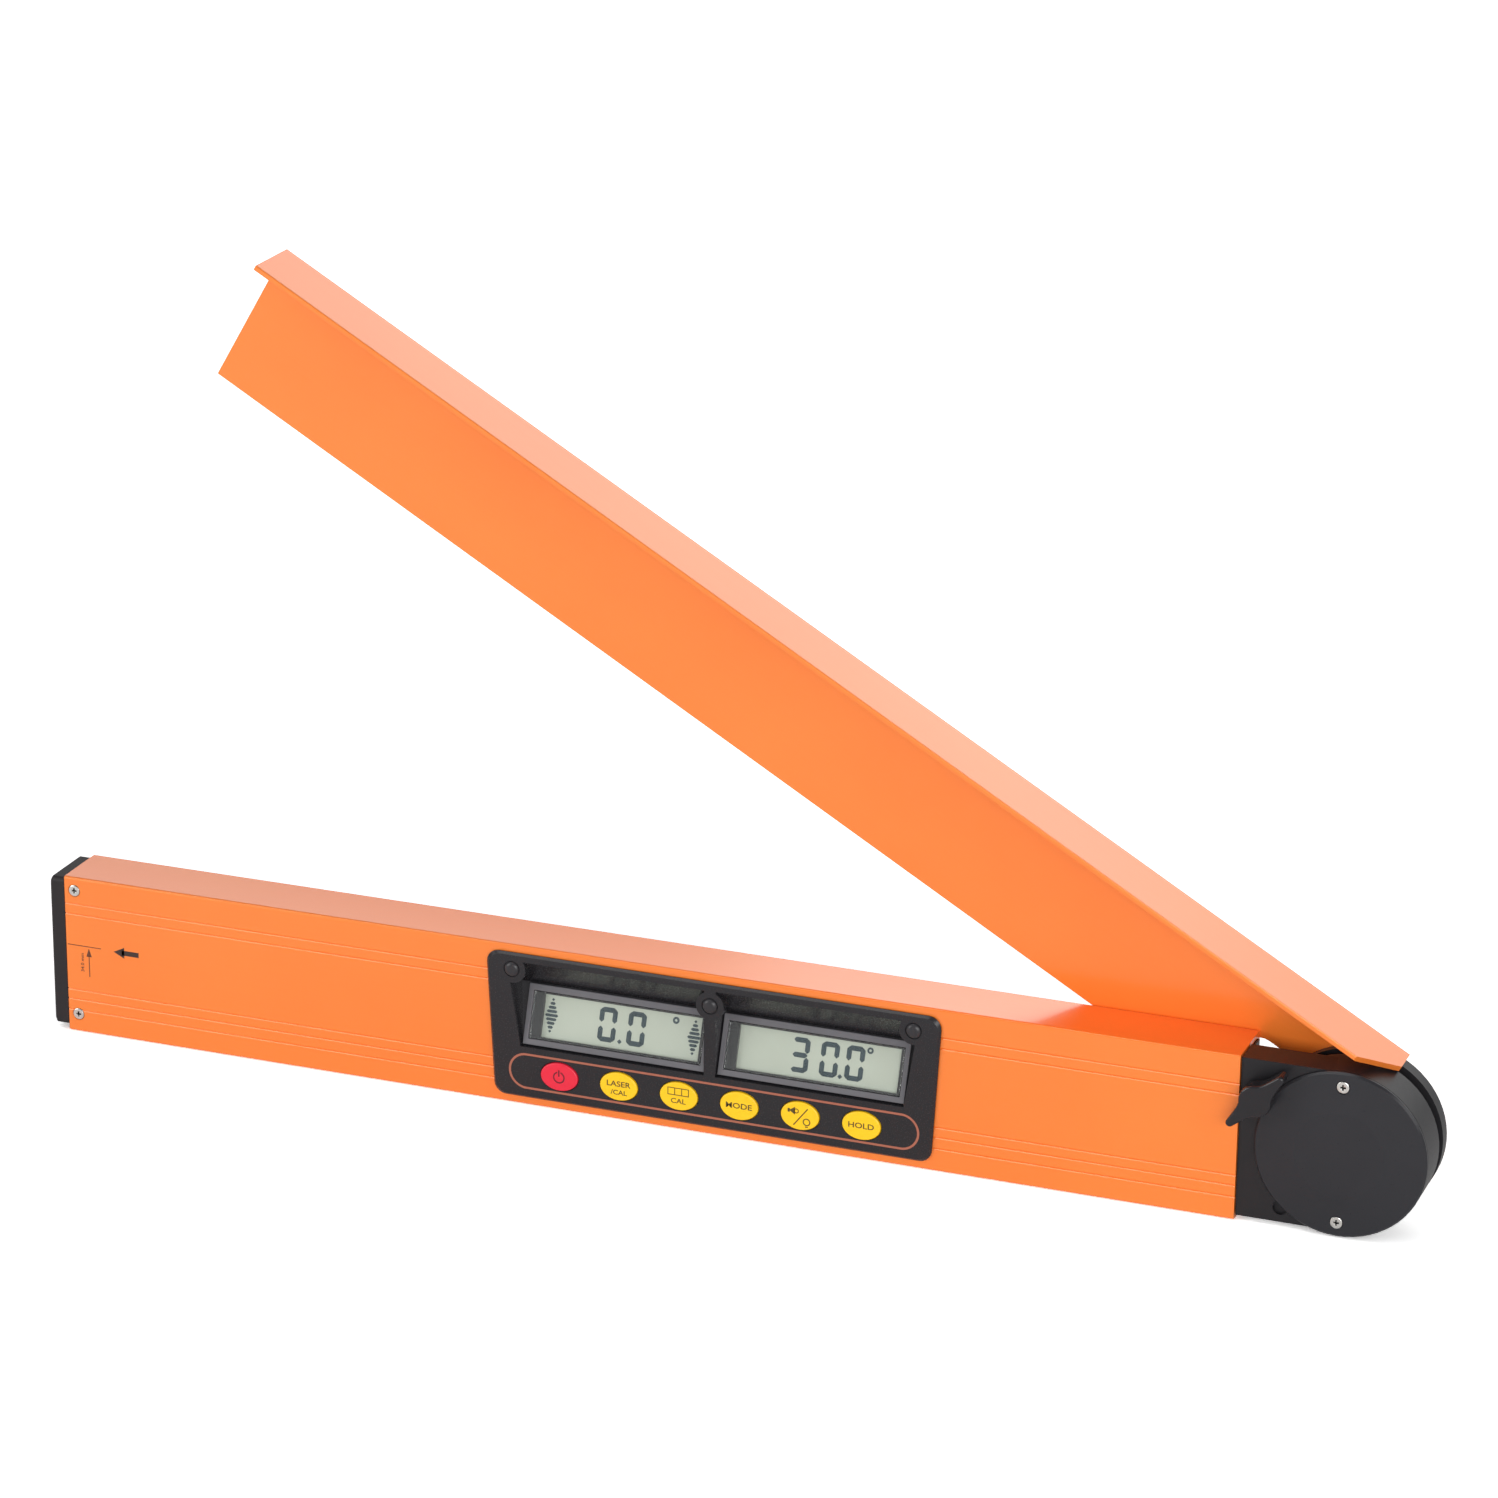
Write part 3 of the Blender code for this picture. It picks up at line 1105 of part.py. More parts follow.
join(spindle, "lock_cam", turned(cam, cam_place, Y_AXIS))
smooth(spindle)
spindle_bore = ((SPINDLE_RADIUS + SEAT_GAP, HOUSING_FACE - OVERRUN), (SPINDLE_RADIUS + SEAT_GAP, BACK))
cut(housing, "spindle_bore", turned(spindle_bore, lever_place, Y_AXIS))


def wing_outline(inset):
    """The lever's outline: a round middle, hollow flanks and two rounded tips."""
    middle = LEVER_MIDDLE_RADIUS - inset
    tip = LEVER_TIP_RADIUS - inset
    flank = [(reach, half - inset) for reach, half in LEVER_FLANKS]
    half = arc((LEVER_TIP_REACH, 0.0), tip, 0, LEVER_TIP_TURN)
    half += list(reversed(flank))
    half += arc((0.0, 0.0), middle, LEVER_SHOULDER, 180 - LEVER_SHOULDER)
    half += [(-reach, across) for reach, across in flank]
    half += arc((-LEVER_TIP_REACH, 0.0), tip, 180 - LEVER_TIP_TURN, 180)[:-1]
    return half + [(-reach, -across) for reach, across in half]


def wing_ring(inset, y):
    """The lever's outline turned to its tilt and set at a depth."""
    tilt = math.radians(LEVER_TILT)
    along = Vector((math.cos(tilt), 0.0, math.sin(tilt)))
    across = Vector((-math.sin(tilt), 0.0, math.cos(tilt)))
    centre = lever_place + Y_AXIS * y
    return [centre + along * a + across * b for a, b in wing_outline(inset)]


wing_rings = [
    wing_ring(LEVER_BEVEL, wing_face),
    wing_ring(0.0, wing_face + LEVER_BEVEL),
    wing_ring(0.0, wing_back),
]
lever = add("lock_lever", shell(wing_rings), BLACK)
tenon_bore = (
    (SPINDLE_RADIUS + SEAT_GAP, wing_back - LEVER_BORE_DEPTH),
    (SPINDLE_RADIUS + SEAT_GAP, wing_back + OVERRUN),
)
cut(lever, "tenon_bore", turned(tenon_bore, lever_place, Y_AXIS))
smooth(lever)

# The arm's side of the hinge is built closed, along -X from the pivot, and turned open.
arm_joint = bpy.data.objects.new("arm_joint", None)
bpy.context.scene.collection.objects.link(arm_joint)
arm_joint.location = PIVOT
arm_joint.rotation_euler = (0.0, math.radians(ARM_ANGLE), 0.0)
HINGE = Vector((0.0, 0.0, 0.0))

# Hub disc: a bore, and a recess for the shaft's head. The brake ring lies on its front.
head_back = WEB_BACK - SHAFT_HEAD_SINK
head_front = head_back - SHAFT_HEAD_THICKNESS
hub_rings = (
    (SHAFT_RADIUS + SEAT_GAP, HUB_FRONT),
    (HUB_RADIUS, HUB_FRONT),
    (HUB_RADIUS, WEB_BACK),
    (SHAFT_HEAD_RADIUS + SEAT_GAP, WEB_BACK),
    (SHAFT_HEAD_RADIUS + SEAT_GAP, head_front - SEAT_GAP),
    (SHAFT_RADIUS + SEAT_GAP, head_front - SEAT_GAP),
)
hub = add("hub_disc", turned(hub_rings, HINGE, Y_AXIS, DRUM_SIDES, True), BLACK, arm_joint)
brake_rings = (
    (SHAFT_RADIUS + SEAT_GAP, BRAKE_RING_FRONT),
    (BRAKE_RING_RADIUS, BRAKE_RING_FRONT),
    (BRAKE_RING_RADIUS, HUB_FRONT - SEAT_GAP),
    (SHAFT_RADIUS + SEAT_GAP, HUB_FRONT - SEAT_GAP),
)
smooth(add("brake_ring", turned(brake_rings, HINGE, Y_AXIS, DRUM_SIDES, True), STEEL, arm_joint))


def tongue_outline(gap):
    """The tongue's rounded end, in X and Z, with the arm closed."""
    radius = TONGUE_RADIUS + gap
    centre = -TONGUE_REACH - TONGUE_RADIUS
    points = arc((centre, TONGUE_LOW + TONGUE_RADIUS), radius, 270, 360)
    points += arc((centre, TONGUE_HIGH - TONGUE_RADIUS), radius, 0, 90)
    return points


pocket = [(-HUB_RADIUS - OVERRUN, TONGUE_LOW - SEAT_GAP)] + tongue_outline(SEAT_GAP)
pocket.append((-HUB_RADIUS - OVERRUN, TONGUE_HIGH + SEAT_GAP))
cut(hub, "tongue_pocket", prism(pocket, "Y", WEB_FRONT - SEAT_GAP, WEB_BACK + OVERRUN))
smooth(hub)

shaft_rings = (
    (SHAFT_RADIUS, ENCODER_BACK + SHAFT_FRONT_SPACE),
    (SHAFT_RADIUS, head_front),
    (SHAFT_HEAD_RADIUS, head_front),
    (SHAFT_HEAD_RADIUS, head_back),
)
smooth(add("pivot_shaft", turned(shaft_rings, HINGE, Y_AXIS), STEEL, arm_joint))
washer = (
    (bush_inner, DRUM_REAR + SEAT_GAP),
    (WASHER_RADIUS, DRUM_REAR + SEAT_GAP),
    (WASHER_RADIUS, DRUM_REAR + SEAT_GAP + WASHER_THICKNESS),
    (bush_inner, DRUM_REAR + SEAT_GAP + WASHER_THICKNESS),
)
smooth(add("friction_washer", turned(washer, HINGE, Y_AXIS, ROUND_SIDES, True), FIBRE, arm_joint))

disc_hub_back = bush_front - SEAT_GAP
disc_back = disc_hub_back - CODE_DISC_HUB_LENGTH
disc_front = disc_back - CODE_DISC_THICKNESS
code_rings = (
    (bush_inner, disc_front),
    (CODE_DISC_RADIUS, disc_front),
    (CODE_DISC_RADIUS, disc_back),
    (CODE_DISC_HUB_RADIUS, disc_back),
    (CODE_DISC_HUB_RADIUS, disc_hub_back),
    (bush_inner, disc_hub_back),
)
smooth(add("code_disc", turned(code_rings, HINGE, Y_AXIS, ROUND_SIDES, True), STEEL, arm_joint))
nut_back = disc_front - SEAT_GAP
nut_outline = ((NUT_RADIUS, nut_back - NUT_THICKNESS), (NUT_RADIUS, nut_back))
nut = add("shaft_nut", turned(nut_outline, HINGE, Y_AXIS, NUT_SIDES), STEEL, arm_joint)
nut_bore = ((bush_inner, nut_back - NUT_THICKNESS - OVERRUN), (bush_inner, nut_back + OVERRUN))
cut(nut, "nut_bore", turned(nut_bore, HINGE, Y_AXIS))

# Arm: an angle section, cut back at the hinge to a tongue that lies in the hub.
corners = [
    (FLANGE_FRONT, FLANGE_UNDER),
    (WEB_FRONT, FLANGE_UNDER),
    (WEB_FRONT, WEB_FOOT),
    (WEB_BACK, WEB_FOOT),
    (WEB_BACK, FLANGE_OUTER),
    (FLANGE_FRONT, FLANGE_OUTER),
]
section = rounded(corners, ARM_EDGE_RADIUS, EDGE_STEPS)
arm = add("arm_profile", prism(section, "X", -ARM_REACH, -ARM_START), ORANGE, arm_joint)

hub_clear = HUB_RADIUS + SEAT_GAP
web_top = FLANGE_UNDER - WEB_STUB
upper = 180 - math.degrees(math.acos(WEB_START / hub_clear))
lower = 180 - math.degrees(math.asin(TONGUE_HIGH / hub_clear))
notch_outline = [(OVERRUN - ARM_START, web_top), (-WEB_START, web_top)]
notch_outline += arc((0.0, 0.0), hub_clear, upper, lower)
notch_outline += list(reversed(tongue_outline(0.0)))
notch_outline += arc((NOTCH_RADIUS - NOTCH_REACH, TONGUE_LOW - NOTCH_RADIUS), NOTCH_RADIUS, 90, 180)
notch_outline.append((-NOTCH_REACH, WEB_FOOT - OVERRUN))
notch_outline.append((OVERRUN - ARM_START, WEB_FOOT - OVERRUN))
cut(arm, "web_notch", prism(notch_outline, "Y", WEB_FRONT - OVERRUN, WEB_BACK + OVERRUN))

lead_in = Vector((-CHAMFER_LENGTH, FLANGE_FRONT))
lead_out = Vector((-ARM_START, FLANGE_FRONT + CHAMFER_DEPTH))
run = (lead_out - lead_in) * CHAMFER_OVERRUN_SHARE
first = lead_in - run
last = lead_out + run
chamfer = [(first.x, first.y), (last.x, last.y), (last.x, first.y)]
cut(arm, "flange_chamfer", prism(chamfer, "Z", FLANGE_UNDER - OVERRUN, FLANGE_OUTER + OVERRUN))

middle_height = (TONGUE_LOW + TONGUE_HIGH) / 2
inner_reach = ARM_SCREW_INNER_SHARE * HUB_RADIUS
outer_reach = ARM_SCREW_OUTER_SHARE * HUB_RADIUS
arm_screws = (
    (inner_reach, TONGUE_LOW + ARM_SCREW_EDGE),
    (inner_reach, TONGUE_HIGH - ARM_SCREW_EDGE),
    (outer_reach, middle_height),
)
for index, (reach, height) in enumerate(arm_screws):
    name = "arm_screw_" + str(index + 1)
    head = Vector((-reach, WEB_BACK - SCREW_SINK, height))
    screw(name, head, -Y_AXIS, ARM_SCREW_LENGTH, SCREW_HEAD_RADIUS, arm_joint)
    for carrier in (arm, hub):
        hole = screw_hole(head, -Y_AXIS, ARM_SCREW_LENGTH, SCREW_HEAD_RADIUS)
        cut(carrier, name + "_hole_" + carrier.name, hole)
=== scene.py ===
import math

import bpy
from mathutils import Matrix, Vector


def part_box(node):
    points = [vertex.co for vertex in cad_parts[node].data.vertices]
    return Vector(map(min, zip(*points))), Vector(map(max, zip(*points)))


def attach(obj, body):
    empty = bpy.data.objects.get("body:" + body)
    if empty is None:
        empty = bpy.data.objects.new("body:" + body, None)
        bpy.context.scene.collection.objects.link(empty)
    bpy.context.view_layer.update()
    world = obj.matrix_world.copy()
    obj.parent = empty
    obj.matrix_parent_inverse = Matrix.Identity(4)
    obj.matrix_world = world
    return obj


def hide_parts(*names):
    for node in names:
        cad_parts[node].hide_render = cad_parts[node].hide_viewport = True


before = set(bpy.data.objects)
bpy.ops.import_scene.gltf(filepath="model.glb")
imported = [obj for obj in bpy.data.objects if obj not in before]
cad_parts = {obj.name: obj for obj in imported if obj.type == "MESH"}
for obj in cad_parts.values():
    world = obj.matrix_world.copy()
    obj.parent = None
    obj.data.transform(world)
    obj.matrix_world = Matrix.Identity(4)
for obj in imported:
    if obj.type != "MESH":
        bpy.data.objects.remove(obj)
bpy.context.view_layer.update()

# Studio. The tool stands on a white sheet under three softboxes and a strip overhead, with two long
# panels behind it that light the upper faces. The camera stands to its right, a little above it,
# and it alone sees the sheet and the room brighter, so that both show as plain white.
floor_size = 12.0
floor_level = -0.0002
paper_fibre = 0.0011
paper_glow = 0.12
room_light = 0.24
tool_middle = (0.0, 0.0, 0.1)
camera_place = (0.6279, -1.5636, 0.7411)
camera_turn = (70.208, -0.506, 20.81)
camera_lens = 125.21
camera_film = 36.0
camera_reach = 50.0


def linear(shade):
    """A hex colour as it is seen, turned to the linear values that a shader takes."""
    parts = [int(shade[i : i + 2], 16) / 255 for i in (0, 2, 4)]
    parts = [p / 12.92 if p <= 0.04045 else ((p + 0.055) / 1.055) ** 2.4 for p in parts]
    return (*parts, 1.0)


def add_node(tree, kind, settings=None, links=None):
    """Add a shader node: settings name its options or inputs, and links what feeds an input."""
    made = tree.nodes.new(kind)
    for key, value in (settings or {}).items():
        if isinstance(key, str) and hasattr(made, key):
            setattr(made, key, value)
        else:
            made.inputs[key].default_value = value
    for key, source in (links or {}).items():
        tree.links.new(source, made.inputs[key])
    return made


def start_material(name, shade, roughness, metallic=0.0):
    """A named finish with its colour, roughness and metal set on the shader itself."""
    made = bpy.data.materials.new(name)
    made.use_nodes = True
    tree = made.node_tree
    shader = tree.nodes["Principled BSDF"]
    shader.inputs["Base Color"].default_value = linear(shade)
    shader.inputs["Roughness"].default_value = roughness
    shader.inputs["Metallic"].default_value = metallic
    place = add_node(tree, "ShaderNodeTexCoord").outputs["Object"]
    return made, tree, shader, place


def select_none():
    """Leave nothing selected, so that the next step acts on one piece."""
    bpy.ops.object.select_all(action="DESELECT")


select_none()
bpy.ops.mesh.primitive_plane_add(size=floor_size, location=(0, 0, floor_level))
floor = bpy.context.active_object
floor.name = "studio_floor"
paper, tree, shader, place = start_material("white_paper_sheet", "F2F2F2", 0.9)
fibre = add_node(tree, "ShaderNodeTexNoise", {"Scale": 1 / paper_fibre, "Detail": 2.0}, {"Vector": place})
grain = add_node(
    tree, "ShaderNodeBump", {"Strength": 0.02, "Distance": 0.0002}, {"Height": fibre.outputs["Fac"]}
)
tree.links.new(grain.outputs["Normal"], shader.inputs["Normal"])
glow = add_node(tree, "ShaderNodeEmission", {"Color": (1, 1, 1, 1), "Strength": paper_glow})
seen = add_node(tree, "ShaderNodeLightPath")
bright = add_node(tree, "ShaderNodeAddShader", None, {0: shader.outputs[0], 1: shader.outputs[0]})
lifted = add_node(tree, "ShaderNodeAddShader", None, {0: bright.outputs[0], 1: glow.outputs[0]})
paper_mix = add_node(
    tree,
    "ShaderNodeMixShader",
    None,
    {0: seen.outputs["Is Camera Ray"], 1: shader.outputs[0], 2: lifted.outputs[0]},
)
tree.links.new(paper_mix.outputs[0], tree.nodes["Material Output"].inputs["Surface"])
floor.data.materials.append(paper)

world = bpy.data.worlds.new("studio_room")
bpy.context.scene.world = world
world.use_nodes = True
tree = world.node_tree
room = tree.nodes["Background"]
room.inputs["Color"].default_value = (1, 1, 1, 1)
room.inputs["Strength"].default_value = room_light
paper_white = add_node(tree, "ShaderNodeBackground", {"Color": (1, 1, 1, 1), "Strength": 1.0})
seen = add_node(tree, "ShaderNodeLightPath")
mirrored = add_node(
    tree,
    "ShaderNodeMath",
    {"operation": "MAXIMUM"},
    {0: seen.outputs["Is Camera Ray"], 1: seen.outputs["Is Transmission Ray"]},
)
room_mix = add_node(
    tree, "ShaderNodeMixShader", None, {0: mirrored.outputs[0], 1: room.outputs[0], 2: paper_white.outputs[0]}
)
tree.links.new(room_mix.outputs[0], tree.nodes["World Output"].inputs["Surface"])

for name, place, target, width, height, power in (
    ("left_softbox", (-2.0, -1.8, 0.8), tool_middle, 1.4, 1.2, 25.0),
    ("front_softbox", (1.1, -2.1, 0.6), tool_middle, 1.4, 0.9, 31.0),
    ("right_softbox", (1.9, -1.0, 1.0), (0.1, 0.0, 0.1), 1.0, 1.2, 10.0),
    ("overhead_strip", (-0.9, -1.0, 2.2), (-0.9, 0.0, 0.1), 2.0, 0.4, 9.0),
    ("back_panel_low", (1.15, 1.9, 0.62), (1.15, 0.0, 0.1), 3.6, 0.8, 9.0),
    ("back_panel_high", (0.2, 1.9, 1.25), tool_middle, 3.6, 0.6, 11.0),
):
    bpy.ops.object.light_add(type="AREA", location=place)
    lamp = bpy.context.active_object
    lamp.name = name
    lamp.data.shape = "RECTANGLE"
    lamp.data.size = width
    lamp.data.size_y = height
    lamp.data.energy = power
    lamp.rotation_euler = (Vector(target) - Vector(place)).to_track_quat("-Z", "Y").to_euler()
    lamp.visible_camera = False

select_none()
bpy.ops.object.camera_add(location=camera_place, rotation=[math.radians(a) for a in camera_turn])
camera = bpy.context.active_object
camera.name = "studio_camera"
camera.data.lens = camera_lens
camera.data.sensor_width = camera_film
camera.data.clip_end = camera_reach
bpy.context.scene.camera = camera
bpy.context.scene.view_settings.view_transform = "Standard"


# Base: a box section extruded in aluminium, with fine grooves along its faces, etched matt and dyed
# orange in the anodising bath. The die leaves faint lines along it, and the dye varies a little.
base_edge = 0.0002
extrusion_line = 0.00035
line_stretch = 0.012
etch_grain = 0.0004
dye_cloud = 0.060
weld_reach = 0.000002
level_turn = 0.6


def refined(node, name, body, width, steps=2, sharp=29, crease=None):
    """Copy a part's faces, weld and merge them, and break its sharp edges by a small radius.

    A crease tests an edge's two ends, and keeps the edge sharp.
    """
    select_none()
    piece = bpy.data.objects.new(name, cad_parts[node].data.copy())
    piece.data.name = name
    bpy.context.scene.collection.objects.link(piece)
    piece.select_set(True)
    bpy.context.view_layer.objects.active = piece
    if piece.data.has_custom_normals:
        bpy.ops.mesh.customdata_custom_splitnormals_clear()
    piece.data.materials.clear()
    bpy.ops.object.mode_set(mode="EDIT")
    bpy.ops.mesh.select_all(action="SELECT")
    bpy.ops.mesh.remove_doubles(threshold=weld_reach)
    bpy.ops.mesh.dissolve_limited(angle_limit=math.radians(level_turn))
    bpy.ops.object.mode_set(mode="OBJECT")
    if width:
        edge = piece.modifiers.new("broken_edges", "BEVEL")
        edge.width = width
        edge.segments = steps
        edge.limit_method = "ANGLE"
        edge.angle_limit = math.radians(sharp)
        edge.use_clamp_overlap = True
        bpy.ops.object.modifier_apply(modifier=edge.name)
    bpy.ops.object.shade_smooth_by_angle(angle=math.radians(sharp))
    for line in piece.data.edges:
        if crease and crease(*(piece.data.vertices[end].co for end in line.vertices)):
            line.use_edge_sharp = True
    flat = piece.modifiers.new("level_faces", "WEIGHTED_NORMAL")
    flat.keep_sharp = True
    flat.weight = 90
    bpy.ops.object.modifier_apply(modifier=flat.name)
    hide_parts(node)
    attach(piece, body)
    return piece


def anodised_orange(name, lean):
    """Dyed anodised aluminium: matt etched, with die lines along an extrusion that leans by an angle.

    The etch scatters the gloss, and the sealed oxide over the dye adds a thin clear sheen.
    """
    made, tree, shader, place = start_material(name, "FF8A3A", 0.36, 0.3)
    along = add_node(
        tree, "ShaderNodeMapping", {"Rotation": (0, math.radians(-lean), 0)}, {"Vector": place}
    )
    squeezed = add_node(
        tree, "ShaderNodeMapping", {"Scale": (line_stretch, 1, 1)}, {"Vector": along.outputs[0]}
    )
    lines = add_node(
        tree,
        "ShaderNodeTexNoise",
        {"Scale": 1 / extrusion_line, "Detail": 3.0},
        {"Vector": squeezed.outputs[0]},
    )
    cloud = add_node(tree, "ShaderNodeTexNoise", {"Scale": 1 / dye_cloud, "Detail": 2.0}, {"Vector": place})
    etch = add_node(tree, "ShaderNodeTexNoise", {"Scale": 1 / etch_grain, "Detail": 2.0}, {"Vector": place})
    dye = add_node(
        tree,
        "ShaderNodeMix",
        {"data_type": "RGBA", 6: linear("FF812A"), 7: linear("FF8B33")},
        {0: cloud.outputs["Fac"]},
    )
    drawn = add_node(
        tree,
        "ShaderNodeMix",
        {"data_type": "RGBA", "blend_type": "MULTIPLY", 0: 0.05},
        {6: dye.outputs[2], 7: lines.outputs["Color"]},
    )
    tree.links.new(drawn.outputs[2], shader.inputs["Base Color"])
    spread = add_node(
        tree,
        "ShaderNodeMapRange",
        {"To Min": 0.31, "To Max": 0.41},
        {"Value": lines.outputs["Fac"]},
    )
    tree.links.new(spread.outputs[0], shader.inputs["Roughness"])
    ridges = add_node(
        tree, "ShaderNodeBump", {"Strength": 0.05, "Distance": 0.00002}, {"Height": lines.outputs["Fac"]}
    )
    pits = add_node(
        tree,
        "ShaderNodeBump",
        {"Strength": 0.08, "Distance": 0.00002},
        {"Height": etch.outputs["Fac"], "Normal": ridges.outputs["Normal"]},
    )
    tree.links.new(pits.outputs["Normal"], shader.inputs["Normal"])
    shader.inputs["Coat Weight"].default_value = 0.9
    shader.inputs["Coat Roughness"].default_value = 0.17
    shader.inputs["Coat IOR"].default_value = 1.5
    return made


base = refined("base_profile", "base_extrusion", "base", base_edge)
base.data.materials.append(anodised_orange("orange_anodised_aluminium_base", 0.0))


# End cap: a black plug moulded in ABS, pushed into the profile's mouth, with a fine matt skin.
# A brass laser module sits in its bore behind a small clear disc.
cap_edge = 0.0003
spark_grain = 0.00045
mould_flow = 0.025
sheen_swing = 0.06
turning_mark = 0.0006
mark_gloss = 0.08
mark_wear = 0.10
acrylic_wave = 0.008


def toned(shade, share):
    """A hex colour as linear values, made darker or lighter by a share."""
    return tuple(c * share for c in linear(shade)[:3]) + (1.0,)


def moulded_black(name, shade, roughness, depth, grain=spark_grain):
    """Black moulded plastic: the mould's spark-eroded skin gives fine pits and an even sheen."""
    made, tree, shader, place = start_material(name, shade, roughness)
    shader.inputs["IOR"].default_value = 1.42
    pits = add_node(tree, "ShaderNodeTexNoise", {"Scale": 1 / grain, "Detail": 3.0}, {"Vector": place})
    flow = add_node(tree, "ShaderNodeTexNoise", {"Scale": 1 / mould_flow, "Detail": 2.0}, {"Vector": place})
    tone = add_node(
        tree,
        "ShaderNodeMix",
        {"data_type": "RGBA", 6: toned(shade, 0.86), 7: toned(shade, 1.16)},
        {0: flow.outputs["Fac"]},
    )
    tree.links.new(tone.outputs[2], shader.inputs["Base Color"])
    sheen = add_node(
        tree,
        "ShaderNodeMapRange",
        {"To Min": roughness - sheen_swing, "To Max": roughness + sheen_swing},
        {"Value": pits.outputs["Fac"]},
    )
    tree.links.new(sheen.outputs[0], shader.inputs["Roughness"])
    skin = add_node(
        tree, "ShaderNodeBump", {"Strength": depth, "Distance": 0.00004}, {"Height": pits.outputs["Fac"]}
    )
    tree.links.new(skin.outputs["Normal"], shader.inputs["Normal"])
    return made


matt_abs = moulded_black("black_abs_matt_skin", "221E20", 0.48, 0.25)
cap = refined("end_cap", "end_cap_moulding", "base", cap_edge)
cap.data.materials.append(matt_abs)


def finish_node(names, material):
    """Give parts that stay as they were made a finish of their own."""
    for name in names:
        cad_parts[name].data.materials.clear()
        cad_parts[name].data.materials.append(material)


def metal(name, shade, roughness, grain):
    """Bare or plated metal, tumbled or turned: fine marks spread its gloss, and a painted shade darkens its
    nooks and recesses.
    """
    made, tree, shader, place = start_material(name, shade, roughness, 1.0)
    marks = add_node(tree, "ShaderNodeTexNoise", {"Scale": 1 / grain, "Detail": 4.0}, {"Vector": place})
    spread = add_node(
        tree,
        "ShaderNodeMapRange",
        {"To Min": roughness - mark_gloss, "To Max": roughness + mark_wear},
        {"Value": marks.outputs["Fac"]},
    )
    tree.links.new(spread.outputs[0], shader.inputs["Roughness"])
    worn = add_node(
        tree, "ShaderNodeBump", {"Strength": 0.12, "Distance": 0.00002}, {"Height": marks.outputs["Fac"]}
    )
    tree.links.new(worn.outputs["Normal"], shader.inputs["Normal"])
    # Painted shade: ambient occlusion pulls the colour toward near black in nooks and screw recesses,
    # standing in for the shadow there.
    nook = add_node(tree, "ShaderNodeAmbientOcclusion", {"Distance": 0.0012, "samples": 8})
    nook_shade = add_node(
        tree,
        "ShaderNodeMapRange",
        {"From Min": 0.35, "From Max": 0.85, "To Min": 0.12, "To Max": 1.0},
        {"Value": nook.outputs["AO"]},
    )
    shaded_base = add_node(
        tree,
        "ShaderNodeMix",
        {"data_type": "RGBA", 6: linear("1A1816"), 7: linear(shade)},
        {0: nook_shade.outputs[0]},
    )
    tree.links.new(shaded_base.outputs[2], shader.inputs["Base Color"])
    return made


brass = metal("turned_brass", "C9A45A", 0.3, turning_mark)
finish_node(["laser_module"], brass)


def clear_acrylic(name, tint, frost):
    """Clear cast acrylic, polished, with the faintest waviness in its surface."""
    made, tree, shader, place = start_material(name, tint, frost)
    shader.inputs["Transmission Weight"].default_value = 1.0
    shader.inputs["IOR"].default_value = 1.49
    wave = add_node(tree, "ShaderNodeTexNoise", {"Scale": 1 / acrylic_wave, "Detail": 1.0}, {"Vector": place})
    skin = add_node(
        tree, "ShaderNodeBump", {"Strength": 0.02, "Distance": 0.00002}, {"Height": wave.outputs["Fac"]}
    )
    tree.links.new(skin.outputs["Normal"], shader.inputs["Normal"])
    return made


laser_lens = clear_acrylic("red_filter_acrylic", "C96A6A", 0.04)
finish_node(["laser_window"], laser_lens)


# Screws: countersunk, with a cross recess, in zinc-plated steel. One of each size is modelled and
# copied to its places at the end cap, the hinge cover, the housing's back and the arm's tongue.
small_head = 0.0021
large_head = 0.0026
cap_screw_length = 0.0075
cover_screw_length = 0.0080
housing_screw_length = 0.0080
arm_screw_length = 0.0043
head_depth = 0.0013
head_sides = 40
head_edge = 0.00005
lip_width_share = 0.14
lip_depth_share = 0.03
shank_radius = 0.0013
recess_depth = 0.0012
recess_rise = 0.0003
recess_reach_share = 1.10
recess_width_share = 0.34
recess_taper_share = 0.55
steep = 0.9
plating_mark = 0.0005
zinc = metal("zinc_plated_steel", "EAE8E3", 0.24, plating_mark)


def cut_away(piece, tool):
    """Cut a tool's shape out of a piece and remove the tool."""
    cutter = piece.modifiers.new("cut", "BOOLEAN")
    cutter.operation = "DIFFERENCE"
    cutter.solver = "EXACT"
    cutter.object = tool
    bpy.context.view_layer.objects.active = piece
    bpy.ops.object.modifier_apply(modifier=cutter.name)
    bpy.data.objects.remove(tool, do_unlink=True)


def round_edges(piece, width, steps=2, sharp=29):
    """Break a piece's edges by a small radius and shade it smooth."""
    select_none()
    piece.select_set(True)
    bpy.context.view_layer.objects.active = piece
    edge = piece.modifiers.new("edges", "BEVEL")
    edge.width = width
    edge.segments = steps
    edge.limit_method = "ANGLE"
    edge.angle_limit = math.radians(sharp)
    bpy.ops.object.modifier_apply(modifier=edge.name)
    bpy.ops.object.shade_smooth_by_angle(angle=math.radians(sharp))


def settle(piece):
    """Bake a piece's place and turn into its mesh, so that its object stays at the origin."""
    select_none()
    piece.select_set(True)
    bpy.context.view_layer.objects.active = piece
    bpy.ops.object.transform_apply(location=True, rotation=True, scale=True)


